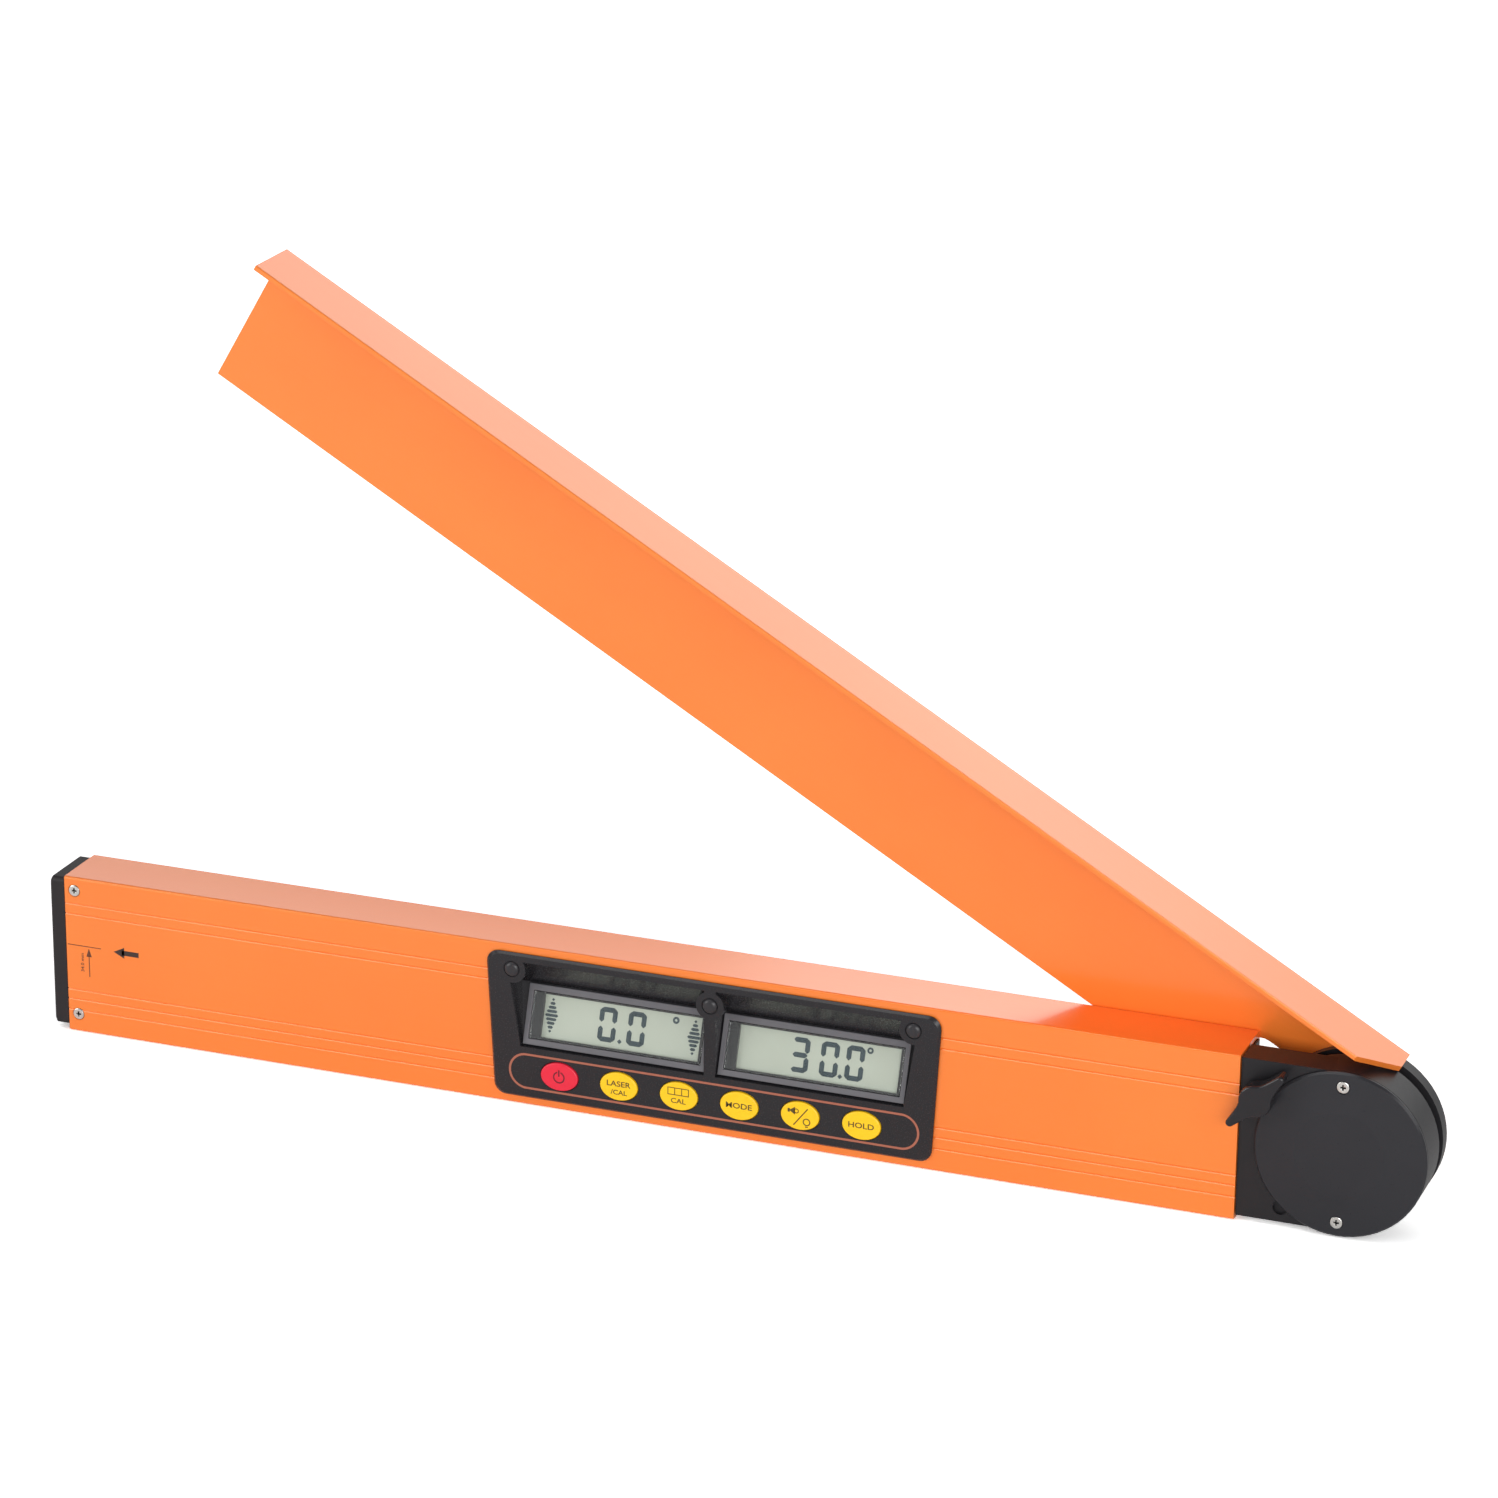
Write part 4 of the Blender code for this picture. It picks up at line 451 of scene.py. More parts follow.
def screw_blank(head_radius, length):
    """A countersunk screw with a cross recess, head up at the origin, modelled along Z."""
    select_none()
    bpy.ops.mesh.primitive_cone_add(
        vertices=head_sides,
        radius1=shank_radius,
        radius2=head_radius,
        depth=head_depth,
        location=(0, 0, -head_depth / 2),
    )
    blank = bpy.context.active_object
    bpy.ops.object.transform_apply(location=True)
    bpy.ops.object.mode_set(mode="EDIT")
    bpy.ops.mesh.select_mode(type="FACE")
    bpy.ops.mesh.select_all(action="DESELECT")
    bpy.ops.object.mode_set(mode="OBJECT")
    for face in blank.data.polygons:
        face.select = face.normal.z < -steep
    bpy.ops.object.mode_set(mode="EDIT")
    bpy.ops.mesh.extrude_region_move(TRANSFORM_OT_translate={"value": (0, 0, head_depth - length)})
    bpy.ops.object.mode_set(mode="OBJECT")
    for face in blank.data.polygons:
        face.select = face.normal.z > steep
    bpy.ops.object.mode_set(mode="EDIT")
    bpy.ops.mesh.inset(thickness=head_radius * lip_width_share, depth=head_radius * lip_depth_share)
    bpy.ops.object.mode_set(mode="OBJECT")
    for turn in (0, 90):
        bpy.ops.mesh.primitive_cube_add(size=1, location=(0, 0, recess_rise - recess_depth / 2))
        wing = bpy.context.active_object
        wing.scale = (
            head_radius * recess_reach_share,
            head_radius * recess_width_share,
            recess_depth + recess_rise * 2,
        )
        wing.rotation_euler = (0, 0, math.radians(turn))
        bpy.ops.object.transform_apply(location=True, rotation=True, scale=True)
        bpy.ops.object.mode_set(mode="EDIT")
        bpy.ops.mesh.select_all(action="DESELECT")
        bpy.ops.object.mode_set(mode="OBJECT")
        for face in wing.data.polygons:
            face.select = face.normal.z < -steep
        bpy.ops.object.mode_set(mode="EDIT")
        bpy.ops.transform.resize(value=(recess_taper_share, recess_taper_share, 1))
        bpy.ops.object.mode_set(mode="OBJECT")
        cut_away(blank, wing)
    round_edges(blank, head_edge)
    return blank


def set_screw(blank, name, node, body, place, direction):
    """Copy a screw to its hole, with its axis turned into the part."""
    piece = blank.copy()
    piece.data = blank.data.copy()
    piece.name = name
    piece.data.name = name
    bpy.context.scene.collection.objects.link(piece)
    piece.rotation_euler = (-Vector(direction)).to_track_quat("Z", "X").to_euler()
    piece.location = place
    settle(piece)
    piece.data.materials.append(zinc)
    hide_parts(node)
    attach(piece, body)


def screw_seat(node, direction):
    """The middle of a screw's head, from the part's box."""
    low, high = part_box(node)
    middle = (low + high) / 2
    reach = (high - low) / 2
    return middle - Vector(direction) * abs(reach.dot(Vector(direction)))


into_front = (0, 1, 0)
into_back = (0, -1, 0)
for group, places, head, length, body, direction in (
    ("end_cap_screw_", ("upper", "lower"), small_head, cap_screw_length, "base", into_front),
    ("hinge_cover_screw_", ("upper", "lower"), small_head, cover_screw_length, "base", into_front),
    ("housing_screw_", ("upper", "lower"), large_head, housing_screw_length, "base", into_back),
    ("arm_screw_", ("1", "2", "3"), large_head, arm_screw_length, "arm", into_back),
):
    blank = screw_blank(head, length)
    for place in places:
        node = group + place
        set_screw(blank, "cross_" + node, node, body, screw_seat(node, direction), direction)
    bpy.data.objects.remove(blank, do_unlink=True)
finish_node(["board_screw_1", "board_screw_2", "board_screw_3", "board_screw_4"], zinc)


# Battery tray and door: black ABS, let into the back of the profile, with two cells in printed
# sleeves between nickel-plated contacts. The door lifts out by its finger notch.
tray_edge = 0.0002
door_edge = 0.00025
contact_mark = 0.0007
tray = refined("battery_tray", "battery_tray_moulding", "base", tray_edge)
tray.data.materials.append(matt_abs)
door = refined("battery_door", "battery_door_moulding", "door", door_edge)
door.data.materials.append(moulded_black("black_abs_door", "2C2A2D", 0.42, 0.3))
nickel = metal("nickel_plated_steel", "CFCBC2", 0.3, contact_mark)
finish_node(["contact_bridge", "contact_positive", "contact_negative"], nickel)
band_start = -0.118
film_crease = 0.0033


def cell_sleeve():
    """A shrunk film sleeve: dark and glossy, with a copper band round the cell's right end."""
    made, tree, shader, place = start_material("shrunk_cell_sleeve", "20242C", 0.3)
    split = add_node(tree, "ShaderNodeSeparateXYZ", None, {"Vector": place})
    band = add_node(
        tree, "ShaderNodeMath", {"operation": "GREATER_THAN", 1: band_start}, {0: split.outputs["X"]}
    )
    film = add_node(
        tree,
        "ShaderNodeMix",
        {"data_type": "RGBA", 6: linear("20242C"), 7: linear("B5763A")},
        {0: band.outputs[0]},
    )
    tree.links.new(film.outputs[2], shader.inputs["Base Color"])
    crease = add_node(tree, "ShaderNodeTexNoise", {"Scale": 1 / film_crease}, {"Vector": place})
    skin = add_node(
        tree, "ShaderNodeBump", {"Strength": 0.1, "Distance": 0.00005}, {"Height": crease.outputs["Fac"]}
    )
    tree.links.new(skin.outputs["Normal"], shader.inputs["Normal"])
    return made


finish_node(["battery_upper", "battery_lower"], cell_sleeve())


# Display bezel: a glossy black ABS moulding on the front, with two sloping bays for the displays
# and a row of oval wells for the keys. A copper-coloured line is printed round the keys.
bezel_edge = 0.0003
gloss_abs = moulded_black("black_abs_gloss", "252427", 0.26, 0.06)
bezel = refined("display_bezel", "bezel_moulding", "base", bezel_edge, 3)
bezel.data.materials.append(gloss_abs)

bezel_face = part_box("display_bezel")[0].y
line_width = 0.0008
line_centre = 0.0316
line_height = 0.0135
line_half_length = 0.0764
line_radius = 0.0068
line_sides = 64
ink_thickness = 0.00004
screen_mesh = 0.0004
axis_gap = 0.00001


def printed_ink(name, shade, roughness=0.45):
    """A screen-printed ink film, slightly uneven where the mesh left it."""
    made, tree, shader, place = start_material(name, shade, roughness)
    mesh = add_node(tree, "ShaderNodeTexNoise", {"Scale": 1 / screen_mesh, "Detail": 1.0}, {"Vector": place})
    film = add_node(
        tree,
        "ShaderNodeMix",
        {"data_type": "RGBA", 6: toned(shade, 0.88), 7: linear(shade)},
        {0: mesh.outputs["Fac"]},
    )
    tree.links.new(film.outputs[2], shader.inputs["Base Color"])
    return made


def select_faces(piece, test):
    """Select the faces of a piece that pass a test, ready for edit mode."""
    bpy.ops.object.mode_set(mode="EDIT")
    bpy.ops.mesh.select_mode(type="FACE")
    bpy.ops.mesh.select_all(action="DESELECT")
    bpy.ops.object.mode_set(mode="OBJECT")
    for face in piece.data.polygons:
        face.select = test(face)


select_none()
bpy.ops.mesh.primitive_circle_add(
    vertices=line_sides, radius=line_radius, fill_type="NGON", rotation=(math.pi / 2, 0, 0)
)
key_line = bpy.context.active_object
key_line.name = "key_line"
bpy.ops.object.transform_apply(rotation=True)
for side in (-1, 1):
    bpy.ops.object.mode_set(mode="EDIT")
    bpy.ops.mesh.select_mode(type="VERT")
    bpy.ops.mesh.select_all(action="DESELECT")
    bpy.ops.object.mode_set(mode="OBJECT")
    for vertex in key_line.data.vertices:
        vertex.select = vertex.co.x * side > axis_gap
    bpy.ops.object.mode_set(mode="EDIT")
    bpy.ops.transform.translate(value=(side * (line_half_length - line_radius), 0, 0))
    bpy.ops.object.mode_set(mode="OBJECT")
select_faces(key_line, lambda face: True)
bpy.ops.object.mode_set(mode="EDIT")
bpy.ops.mesh.inset(thickness=line_width)
bpy.ops.mesh.delete(type="FACE")
bpy.ops.mesh.select_all(action="SELECT")
bpy.ops.mesh.extrude_region_move(TRANSFORM_OT_translate={"value": (0, -ink_thickness, 0)})
bpy.ops.mesh.select_all(action="SELECT")
bpy.ops.mesh.normals_make_consistent(inside=False)
bpy.ops.object.mode_set(mode="OBJECT")
key_line.location = (line_centre, bezel_face, line_height)
settle(key_line)
key_line.data.materials.append(printed_ink("copper_print", "A8634E"))
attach(key_line, "base")


# Displays: reflective liquid-crystal glass, grey-green, with dark segments. Each sits under the bay's
# floor, behind a clear acrylic window that a dark grey frame with a satin skin holds.
tilt = 19.0
bay_y = -0.011
bay_z = 0.0226
glass_rise = -0.0018
digit_width = 0.0067
digit_height = 0.0122
digit_foot = 0.0050
stroke = 0.0018
stroke_point_share = 0.44
stroke_gap_share = 0.7
upright_gap_share = 0.65
upright_end_share = 0.25
segment_thickness = 0.00005
ring_sides = 40
glass_cloud = 0.022
glass_grain = 0.00025


def lcd_glass():
    """Reflective display glass: a grey-green polariser with a soft gloss and a slight cloudiness."""
    made, tree, shader, place = start_material("display_glass", "B4BAAC", 0.35)
    cloud = add_node(tree, "ShaderNodeTexNoise", {"Scale": 1 / glass_cloud, "Detail": 2.0}, {"Vector": place})
    tone = add_node(
        tree,
        "ShaderNodeMix",
        {"data_type": "RGBA", 6: linear("B0B6A8"), 7: linear("BAC0B3")},
        {0: cloud.outputs["Fac"]},
    )
    tree.links.new(tone.outputs[2], shader.inputs["Base Color"])
    brushed = add_node(tree, "ShaderNodeTexNoise", {"Scale": 1 / glass_grain}, {"Vector": place})
    skin = add_node(
        tree, "ShaderNodeBump", {"Strength": 0.05, "Distance": 0.00002}, {"Height": brushed.outputs["Fac"]}
    )
    tree.links.new(skin.outputs["Normal"], shader.inputs["Normal"])
    return made


finish_node(["display_left", "display_right"], lcd_glass())
crystal = printed_ink("dark_liquid_crystal", "1E333C", 0.3)


def bar(u, w, length, width, upright=False):
    """One display segment with pointed ends, flat on the XY plane."""
    bpy.ops.mesh.primitive_cube_add(size=1, location=(u, w, segment_thickness / 2))
    piece = bpy.context.active_object
    piece.scale = (width, length, segment_thickness) if upright else (length, width, segment_thickness)
    bpy.ops.object.transform_apply(location=True, scale=True)
    bpy.ops.object.mode_set(mode="EDIT")
    bpy.ops.mesh.select_mode(type="EDGE")
    bpy.ops.mesh.select_all(action="DESELECT")
    bpy.ops.object.mode_set(mode="OBJECT")
    for edge in piece.data.edges:
        a, b = (piece.data.vertices[i].co for i in edge.vertices)
        edge.select = abs(a.z - b.z) > segment_thickness / 2
    bpy.ops.object.mode_set(mode="EDIT")
    bpy.ops.mesh.bevel(offset=width * stroke_point_share, segments=1)
    bpy.ops.object.mode_set(mode="OBJECT")
    return piece


def ring(u, w, outer, width, height=segment_thickness, sides=ring_sides):
    """A flat ring on the XY plane."""
    bpy.ops.mesh.primitive_cylinder_add(
        vertices=sides, radius=outer, depth=height, location=(u, w, height / 2)
    )
    piece = bpy.context.active_object
    bpy.ops.object.transform_apply(location=True)
    bpy.ops.mesh.primitive_cylinder_add(
        vertices=sides, radius=outer - width, depth=height * 4, location=(u, w, height / 2)
    )
    hole = bpy.context.active_object
    bpy.ops.object.transform_apply(location=True)
    cut_away(piece, hole)
    return piece


def gather(pieces, name):
    """Join several flat marks into one named piece."""
    select_none()
    for piece in pieces:
        piece.select_set(True)
    bpy.context.view_layer.objects.active = pieces[0]
    bpy.ops.object.join()
    pieces[0].name = name
    pieces[0].data.name = name
    return pieces[0]


def digit(left, segments):
    """The lit segments of one digit: a top, b and c right, d foot, e and f left, g middle."""
    half = stroke / 2
    across = left + digit_width / 2
    tall = digit_height / 2 - stroke * upright_gap_share
    low = digit_foot + tall / 2 + stroke * upright_end_share
    high = digit_foot + digit_height - tall / 2 - stroke * upright_end_share
    made = []
    for name, level in (("a", digit_height - half), ("g", digit_height / 2), ("d", half)):
        if name in segments:
            made.append(bar(across, digit_foot + level, digit_width - stroke * stroke_gap_share, stroke))
    for name, u, w in (
        ("b", left + digit_width - half, high),
        ("c", left + digit_width - half, low),
        ("e", left + half, low),
        ("f", left + half, high),
    ):
        if name in segments:
            made.append(bar(u, w, tall, stroke, True))
    return made


level_bar_count = 9
level_bar_pitch = 0.0014
level_bar_length = 0.0050
level_bar_step = 0.00098
level_bar_stroke = 0.00105
level_middle = 0.0113


def level_bars(across):
    """The stack of bars that shows the tilt: short at both ends and long in the middle."""
    made = []
    for index in range(level_bar_count):
        off = index - level_bar_count // 2
        length = level_bar_length - abs(off) * level_bar_step
        made.append(bar(across, level_middle + off * level_bar_pitch, length, level_bar_stroke))
    return made


def lay_on_glass(piece):
    """Tip flat marks onto the display glass in its bay."""
    tip = math.radians(90 - tilt)
    lift = Vector((0, -math.cos(math.radians(tilt)), math.sin(math.radians(tilt)))) * glass_rise
    piece.rotation_euler = (tip, 0, 0)
    piece.location = Vector((0, bay_y, bay_z)) + lift
    settle(piece)
    piece.data.materials.append(crystal)
    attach(piece, "base")


point_size = 0.0016
point_height = 0.0058
degree_height = 0.0163
zero = "abcdef"
three = "abcdg"
readings = {
    "left_reading": {
        "digits": ((-0.0137, zero), (-0.0028, zero)),
        "point": -0.0052,
        "degree": {"u": 0.0148, "outer": 0.00125, "width": 0.0008},
        "levels": (-0.0316, 0.0221),
    },
    "right_reading": {
        "digits": ((0.0581, three), (0.0689, zero), (0.0782, zero)),
        "point": 0.0767,
        "degree": {"u": 0.0866, "outer": 0.00115, "width": 0.0007},
        "levels": (),
    },
}
select_none()
for name, reading in readings.items():
    marks = [segment for left, lit in reading["digits"] for segment in digit(left, lit)]
    marks.append(bar(reading["point"], point_height, point_size, point_size))
    marks.append(ring(w=degree_height, **reading["degree"]))
    for across in reading["levels"]:
        marks += level_bars(across)
    lay_on_glass(gather(marks, name))

frame_edge = 0.00025
pane_edge = 0.00012
satin_abs = moulded_black("grey_abs_satin", "68676B", 0.30, 0.10)
pane = clear_acrylic("clear_acrylic_window", "F4F7F5", 0.02)
for side in ("left", "right"):
    held = refined("frame_" + side, "window_frame_" + side, "base", frame_edge, 3)
    held.data.materials.append(satin_abs)
    glazed = refined("window_" + side, "window_pane_" + side, "base", pane_edge)
    glazed.data.materials.append(pane)
    glazed.visible_shadow = False
    glazed.visible_diffuse = False


# Panel plugs: small domed caps moulded in black polyamide, pressed into the bezel's three posts,
# where they hide the ends of its fixings.
plug_black = moulded_black("black_polyamide", "2E2D30", 0.3, 0.1)
for side in ("left", "middle", "right"):
    plug = refined("panel_plug_" + side, "domed_plug_" + side, "base", 0.0, sharp=60)
    plug.data.materials.append(plug_black)


# Keys: oval caps of silicone rubber, one red and five yellow, each with a printed sign. Their faces
# are flat with well-rounded rims, and a flange holds each behind the bezel.
key_edge = 0.00028
rubber_cloud = 0.0045
rubber_grain = 0.0003


def silicone(name, shade):
    """Moulded silicone rubber: soft gloss, a little light enters it, and a dusty fine grain."""
    made, tree, shader, place = start_material(name, shade, 0.42)
    cloud = add_node(
        tree, "ShaderNodeTexNoise", {"Scale": 1 / rubber_cloud, "Detail": 2.0}, {"Vector": place}
    )
    tone = add_node(
        tree,
        "ShaderNodeMix",
        {"data_type": "RGBA", 6: toned(shade, 0.93), 7: linear(shade)},
        {0: cloud.outputs["Fac"]},
    )
    tree.links.new(tone.outputs[2], shader.inputs["Base Color"])
    shader.inputs["Subsurface Weight"].default_value = 0.15
    shader.inputs["Subsurface Radius"].default_value = (0.6, 0.35, 0.15)
    shader.inputs["Subsurface Scale"].default_value = 0.001
    grain = add_node(tree, "ShaderNodeTexNoise", {"Scale": 1 / rubber_grain}, {"Vector": place})
    skin = add_node(
        tree, "ShaderNodeBump", {"Strength": 0.12, "Distance": 0.00003}, {"Height": grain.outputs["Fac"]}
    )
    tree.links.new(skin.outputs["Normal"], shader.inputs["Normal"])
    return made


red_silicone = silicone("red_silicone", "E6243F")
yellow_silicone = silicone("yellow_silicone", "FFCB16")
sign_ink = printed_ink("dark_sign_print", "5A4A1E")
red_sign_ink = printed_ink("dark_red_sign_print", "5E1423")

for key in ("power_key", "laser_key", "calibrate_key", "mode_key", "sound_key", "hold_key"):
    cap = refined(key, key + "_cap_moulding", key + "_cap", key_edge, 3)
    cap.data.materials.append(red_silicone if key == "power_key" else yellow_silicone)


letter_size_share = 1.38
letter_bold_share = 0.018
unit_depth = 1.5
unit_width = math.sqrt(3)


def stroke_bar(u, w, length, width, turn=0.0):
    """A straight printed stroke on the XY plane."""
    bpy.ops.mesh.primitive_cube_add(size=1, location=(u, w, ink_thickness / 2))
    piece = bpy.context.active_object
    piece.scale = (length, width, ink_thickness)
    piece.rotation_euler = (0, 0, math.radians(turn))
    bpy.ops.object.transform_apply(location=True, rotation=True, scale=True)
    return piece


def word(text, u, w, height, stretch=1.0):
    """Printed letters as a thin film on the XY plane."""
    bpy.ops.object.text_add(location=(0, 0, 0))
    piece = bpy.context.active_object
    piece.data.body = text
    piece.data.size = height * letter_size_share
    piece.data.align_x = "CENTER"
    piece.data.align_y = "CENTER"
    piece.data.extrude = ink_thickness / 2
    piece.data.resolution_u = 3
    piece.data.offset = height * letter_bold_share
    bpy.ops.object.convert(target="MESH")
    piece = bpy.context.active_object
    piece.scale = (stretch, 1, 1)
    piece.location = (u, w, ink_thickness / 2)
    settle(piece)
    return piece


def triangle(u, w, reach, width, turn):
    """A printed arrowhead that points along its turn.

    A triangle in a circle of radius 1 is 1.5 deep and the root of 3 wide.
    """
    bpy.ops.mesh.primitive_cylinder_add(
        vertices=3,
        radius=1,
        depth=ink_thickness,
        location=(0, 0, ink_thickness / 2),
        rotation=(0, 0, -math.pi / 2),
    )
    piece = bpy.context.active_object
    bpy.ops.object.transform_apply(location=True, rotation=True)
    piece.scale = (reach / unit_depth, width / unit_width, 1)
    bpy.ops.object.transform_apply(scale=True)
    piece.rotation_euler = (0, 0, math.radians(turn))
    piece.location = (u, w, 0)
    settle(piece)
    return piece


def stand_on(pieces, name, x, y, z, body, ink):
    """Gather flat marks, stand them up against a front face and let them ride with a body."""
    piece = gather(pieces, name)
    piece.rotation_euler = (math.pi / 2, 0, 0)
    piece.location = (x, y, z)
    settle(piece)
    piece.data.materials.append(ink)
    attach(piece, body)


letter = 0.0021
small_letter = 0.0018
letter_stretch = 1.15
word_stretch = 1.2
select_none()

power_circle = {"u": 0, "w": -0.0001, "outer": 0.0022, "width": 0.00045, "sides": 48}
power_bar = {"u": 0, "w": 0.0015, "length": 0.0005, "width": 0.0024}
power_gap = (0.0013, 0.0016, 0.001)
power_gap_height = 0.0021
power_ring = ring(**power_circle, height=ink_thickness)
bpy.ops.mesh.primitive_cube_add(size=1, location=(0, power_gap_height, 0))
gap = bpy.context.active_object
gap.scale = power_gap
bpy.ops.object.transform_apply(location=True, scale=True)
cut_away(power_ring, gap)

laser_word = {"u": 0, "w": 0.0010, "height": letter, "stretch": letter_stretch}
laser_note = {"u": 0.0002, "w": -0.0022, "height": small_letter, "stretch": letter_stretch}
level_word = {"u": 0, "w": -0.0018, "height": 0.0019, "stretch": letter_stretch}
plain_word = {"u": 0, "w": 0, "height": letter, "stretch": word_stretch}

vial_length = 0.0080
vial_foot = 0.0005
vial_top = 0.0031
vial_middle = (vial_foot + vial_top) / 2
vial_line = 0.0003
vial_wall = 0.0023
vial_end = (vial_length - vial_line) / 2
vial_mark = 0.0013

speaker_height = 0.0018
speaker_body = {"u": -0.0040, "w": speaker_height, "length": 0.0008, "width": 0.0014}
speaker_horn = {"u": -0.0024, "w": speaker_height, "reach": 0.0022, "width": 0.0030, "turn": 180}
speaker_wave = {"u": -0.0012, "w": speaker_height, "outer": 0.0009, "width": 0.0003, "sides": 24}
slash = {"u": 0.0004, "w": -0.0002, "length": 0.0084, "width": 0.0004, "turn": 52}
lamp_bulb = {"u": 0.0026, "w": -0.0019, "outer": 0.0014, "width": 0.0004, "sides": 32}
lamp_foot = {"u": 0.0026, "w": -0.0037, "length": 0.0010, "width": 0.0004}

signs = {
    "power_key": [power_ring, stroke_bar(**power_bar)],
    "laser_key": [word("LASER", **laser_word), word("/CAL", **laser_note)],
    "calibrate_key": [stroke_bar(0, level, vial_length, vial_line) for level in (vial_top, vial_foot)]
    + [
        stroke_bar(across, vial_middle, vial_line, vial_wall)
        for across in (-vial_end, vial_end, -vial_mark, vial_mark)
    ]
    + [word("CAL", **level_word)],
    "mode_key": [word("MODE", **plain_word)],
    "sound_key": [
        stroke_bar(**speaker_body),
        triangle(**speaker_horn),
        ring(**speaker_wave, height=ink_thickness),
        stroke_bar(**slash),
        ring(**lamp_bulb, height=ink_thickness),
        stroke_bar(**lamp_foot),
    ],
    "hold_key": [word("HOLD", **plain_word)],
}
for key, marks in signs.items():
    ink = red_sign_ink if key == "power_key" else sign_ink
    low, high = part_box(key)
    middle = (low + high) / 2
    stand_on(marks, key + "_sign", middle.x, low.y, middle.z, key + "_cap", ink)


# Printed marks on the base: the height line of the laser beam with an upright arrow and its figure,
# and a bold arrow toward the end that the beam leaves. Black ink on the anodised face.
left_end, front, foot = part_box("base_profile")[0]
height_line = {"u": 0.0072, "w": 0.0338, "length": 0.0134, "width": 0.00030}
height_arrow = 0.0090
height_stem = {"u": height_arrow, "w": 0.0262, "length": 0.00034, "width": 0.0082}
height_tip = {"u": height_arrow, "w": 0.0310, "reach": 0.0032, "width": 0.0022, "turn": 90}
figure_place = (0.0063, 0.0274, 0)
figure_height = 0.0013
beam_line = 0.0335
beam_tip = {"u": 0.0219, "w": beam_line, "reach": 0.0042, "width": 0.0042, "turn": 180}
beam_stem = {"u": 0.0257, "w": beam_line, "length": 0.0068, "width": 0.0019}
black_ink = printed_ink("black_print", "3A2A24")
dark_ink = printed_ink("thin_black_print", "6B3B22")
select_none()
figure = word("34.0 mm", 0, 0, figure_height, letter_stretch)
figure.rotation_euler = (0, 0, math.pi / 2)
figure.location = figure_place
settle(figure)
thin_marks = [stroke_bar(**height_line), stroke_bar(**height_stem), triangle(**height_tip), figure]
stand_on(thin_marks, "height_mark", left_end, front, foot, "base", dark_ink)
bold_marks = [triangle(**beam_tip), stroke_bar(**beam_stem)]
stand_on(bold_marks, "beam_arrow", left_end, front, foot, "base", black_ink)


# Electronics inside: the main board with its switches, the tilt sensor's can, the buzzer, the
# leads, and the encoder's board and ribbon in the hinge.
track_pitch = 0.004
track_line_share = 0.06
can_mark = 0.0008
insulation_grain = 0.00067


def circuit_board():
    """Glass-epoxy board under green solder mask, with copper tracks showing through."""
    made, tree, shader, place = start_material("green_solder_mask", "1F5A33", 0.35)
    tracks = add_node(
        tree,
        "ShaderNodeTexVoronoi",
        {"Scale": 1 / track_pitch, "feature": "DISTANCE_TO_EDGE"},
        {"Vector": place},
    )
    line = add_node(
        tree,
        "ShaderNodeMath",
        {"operation": "LESS_THAN", 1: track_line_share},
        {0: tracks.outputs["Distance"]},
    )
    mask = add_node(
        tree,
        "ShaderNodeMix",
        {"data_type": "RGBA", 6: linear("1F5A33"), 7: linear("3E7A46")},
        {0: line.outputs[0]},
    )
    tree.links.new(mask.outputs[2], shader.inputs["Base Color"])
    return made


finish_node(["main_board", "encoder_board"], circuit_board())
finish_node(["tilt_sensor"], metal("nickel_silver_can", "C4C2BC", 0.34, can_mark))
finish_node(["buzzer"], moulded_black("black_polyester_case", "232224", 0.5, 0.2))


def cable_skin(name, shade):
    """PVC cable insulation with a faint extrusion grain."""
    made, tree, shader, place = start_material(name, shade, 0.4)
    grain = add_node(tree, "ShaderNodeTexNoise", {"Scale": 1 / insulation_grain}, {"Vector": place})
    tone = add_node(
        tree,
        "ShaderNodeMix",
        {"data_type": "RGBA", 6: toned(shade, 0.85), 7: linear(shade)},
        {0: grain.outputs["Fac"]},
    )
    tree.links.new(tone.outputs[2], shader.inputs["Base Color"])
    return made


finish_node(["laser_lead", "battery_lead"], cable_skin("red_pvc_insulation", "B8322A"))
finish_node(["encoder_ribbon"], cable_skin("grey_ribbon_insulation", "9A9A98"))


# Hinge housing: a block and a drum moulded in black glass-filled polyamide, with an insert in the
# profile's mouth. The cover plate over the encoder has a level centre field and a falling rim.
housing_edge = 0.0004
housing_grain = 0.0006
housing_black = moulded_black("black_glass_filled_polyamide", "1C1B1E", 0.40, 0.22, housing_grain)
housing = refined("hinge_housing", "hinge_housing_moulding", "base", housing_edge, 3)
housing.data.materials.append(housing_black)
cover_black = moulded_black("black_abs_cover", "27272B", 0.30, 0.12)
cover_edge = 0.0002
bronze_pore = 0.0005
field_radius = 0.0155
field_reach = 0.0002
cover_low, cover_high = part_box("hinge_cover")
field_centre = (cover_low + cover_high) / 2


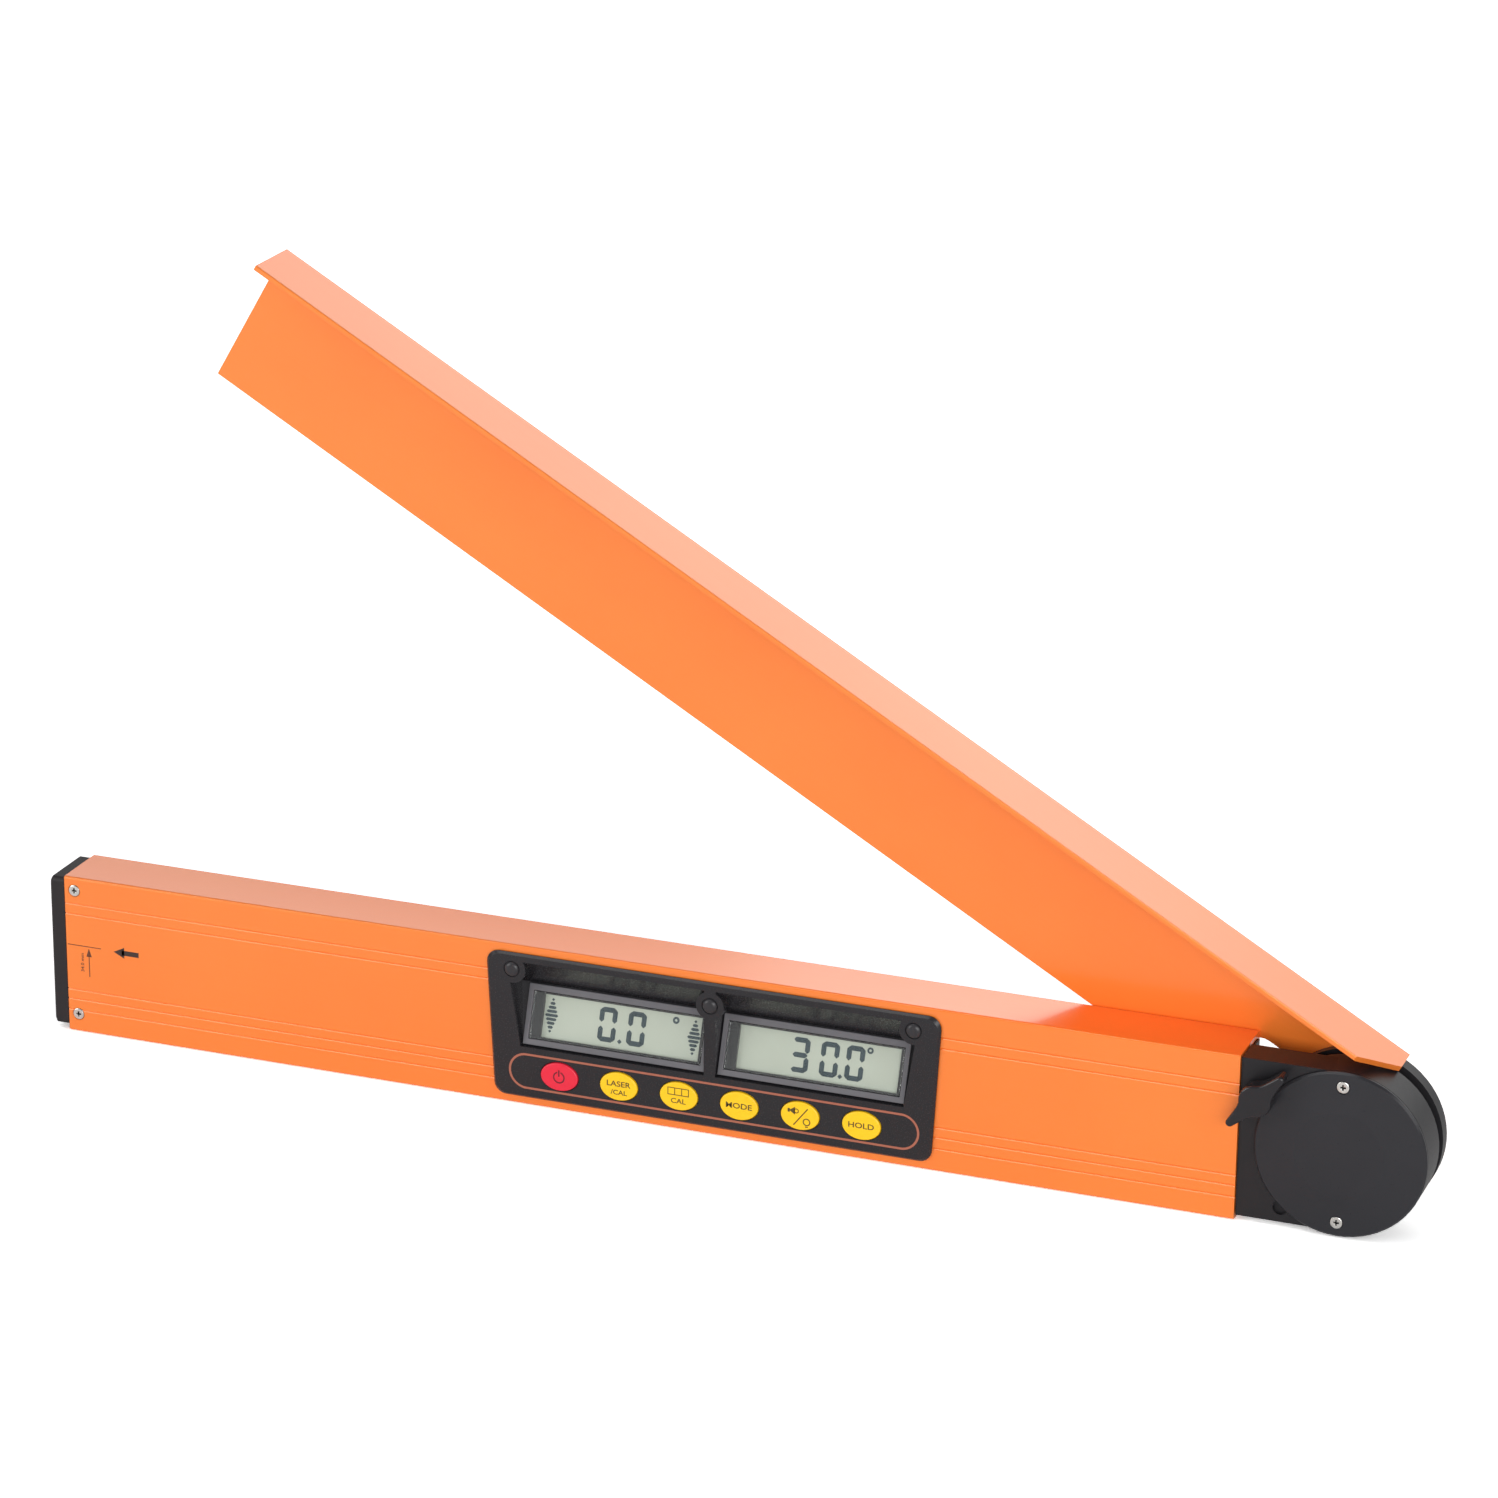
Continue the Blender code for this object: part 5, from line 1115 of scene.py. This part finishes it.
def on_field_edge(*ends):
    """Whether an edge lies on the round line where the cover's rim starts to fall."""
    out = [math.hypot(end.x - field_centre.x, end.z - field_centre.z) for end in ends]
    return all(abs(reach - field_radius) < field_reach for reach in out)


cover = refined("hinge_cover", "hinge_cover_plate", "base", cover_edge, 3, crease=on_field_edge)
cover.data.materials.append(cover_black)
finish_node(["shaft_nut", "lock_spindle", "code_disc", "brake_ring"], zinc)
finish_node(["pivot_bush"], metal("sintered_bronze", "9A7346", 0.42, bronze_pore))


# Lock lever: a wing-shaped knob moulded in black polyamide on the spindle. Turned, its cam presses
# on the steel ring in front of the hub disc and holds the arm.
lever_edge = 0.0006
lever = refined("lock_lever", "lock_lever_wing", "lock", lever_edge, 3)
lever.data.materials.append(moulded_black("black_polyamide_lever", "222124", 0.22, 0.10))


# Arm: an angle section in the same orange anodised aluminium, with its hub disc on the pivot. Three
# screws hold its tongue in the disc, and the shaft's head lies sunk in the middle.
arm_lean = 30.0
arm_edge = 0.0002
hub_edge = 0.0003
shaft_edge = 0.0002
fibre_mottle = 0.002
arm = refined("arm_profile", "arm_extrusion", "arm", arm_edge)
arm.data.materials.append(anodised_orange("orange_anodised_aluminium_arm", arm_lean))
hub = refined("hub_disc", "hub_disc_moulding", "arm", hub_edge, 3)
hub.data.materials.append(housing_black)
shaft = refined("pivot_shaft", "pivot_shaft_turned", "arm", shaft_edge)
shaft.data.materials.append(metal("turned_steel", "C9C8C4", 0.28, turning_mark))


def pressed_fibre():
    """Vulcanised fibre: dull, dark, mottled."""
    made, tree, shader, place = start_material("vulcanised_fibre", "3A322A", 0.75)
    mottle = add_node(
        tree, "ShaderNodeTexNoise", {"Scale": 1 / fibre_mottle, "Detail": 4.0}, {"Vector": place}
    )
    tone = add_node(
        tree,
        "ShaderNodeMix",
        {"data_type": "RGBA", 6: linear("2E2822"), 7: linear("473D33")},
        {0: mottle.outputs["Fac"]},
    )
    tree.links.new(tone.outputs[2], shader.inputs["Base Color"])
    return made


finish_node(["friction_washer"], pressed_fibre())
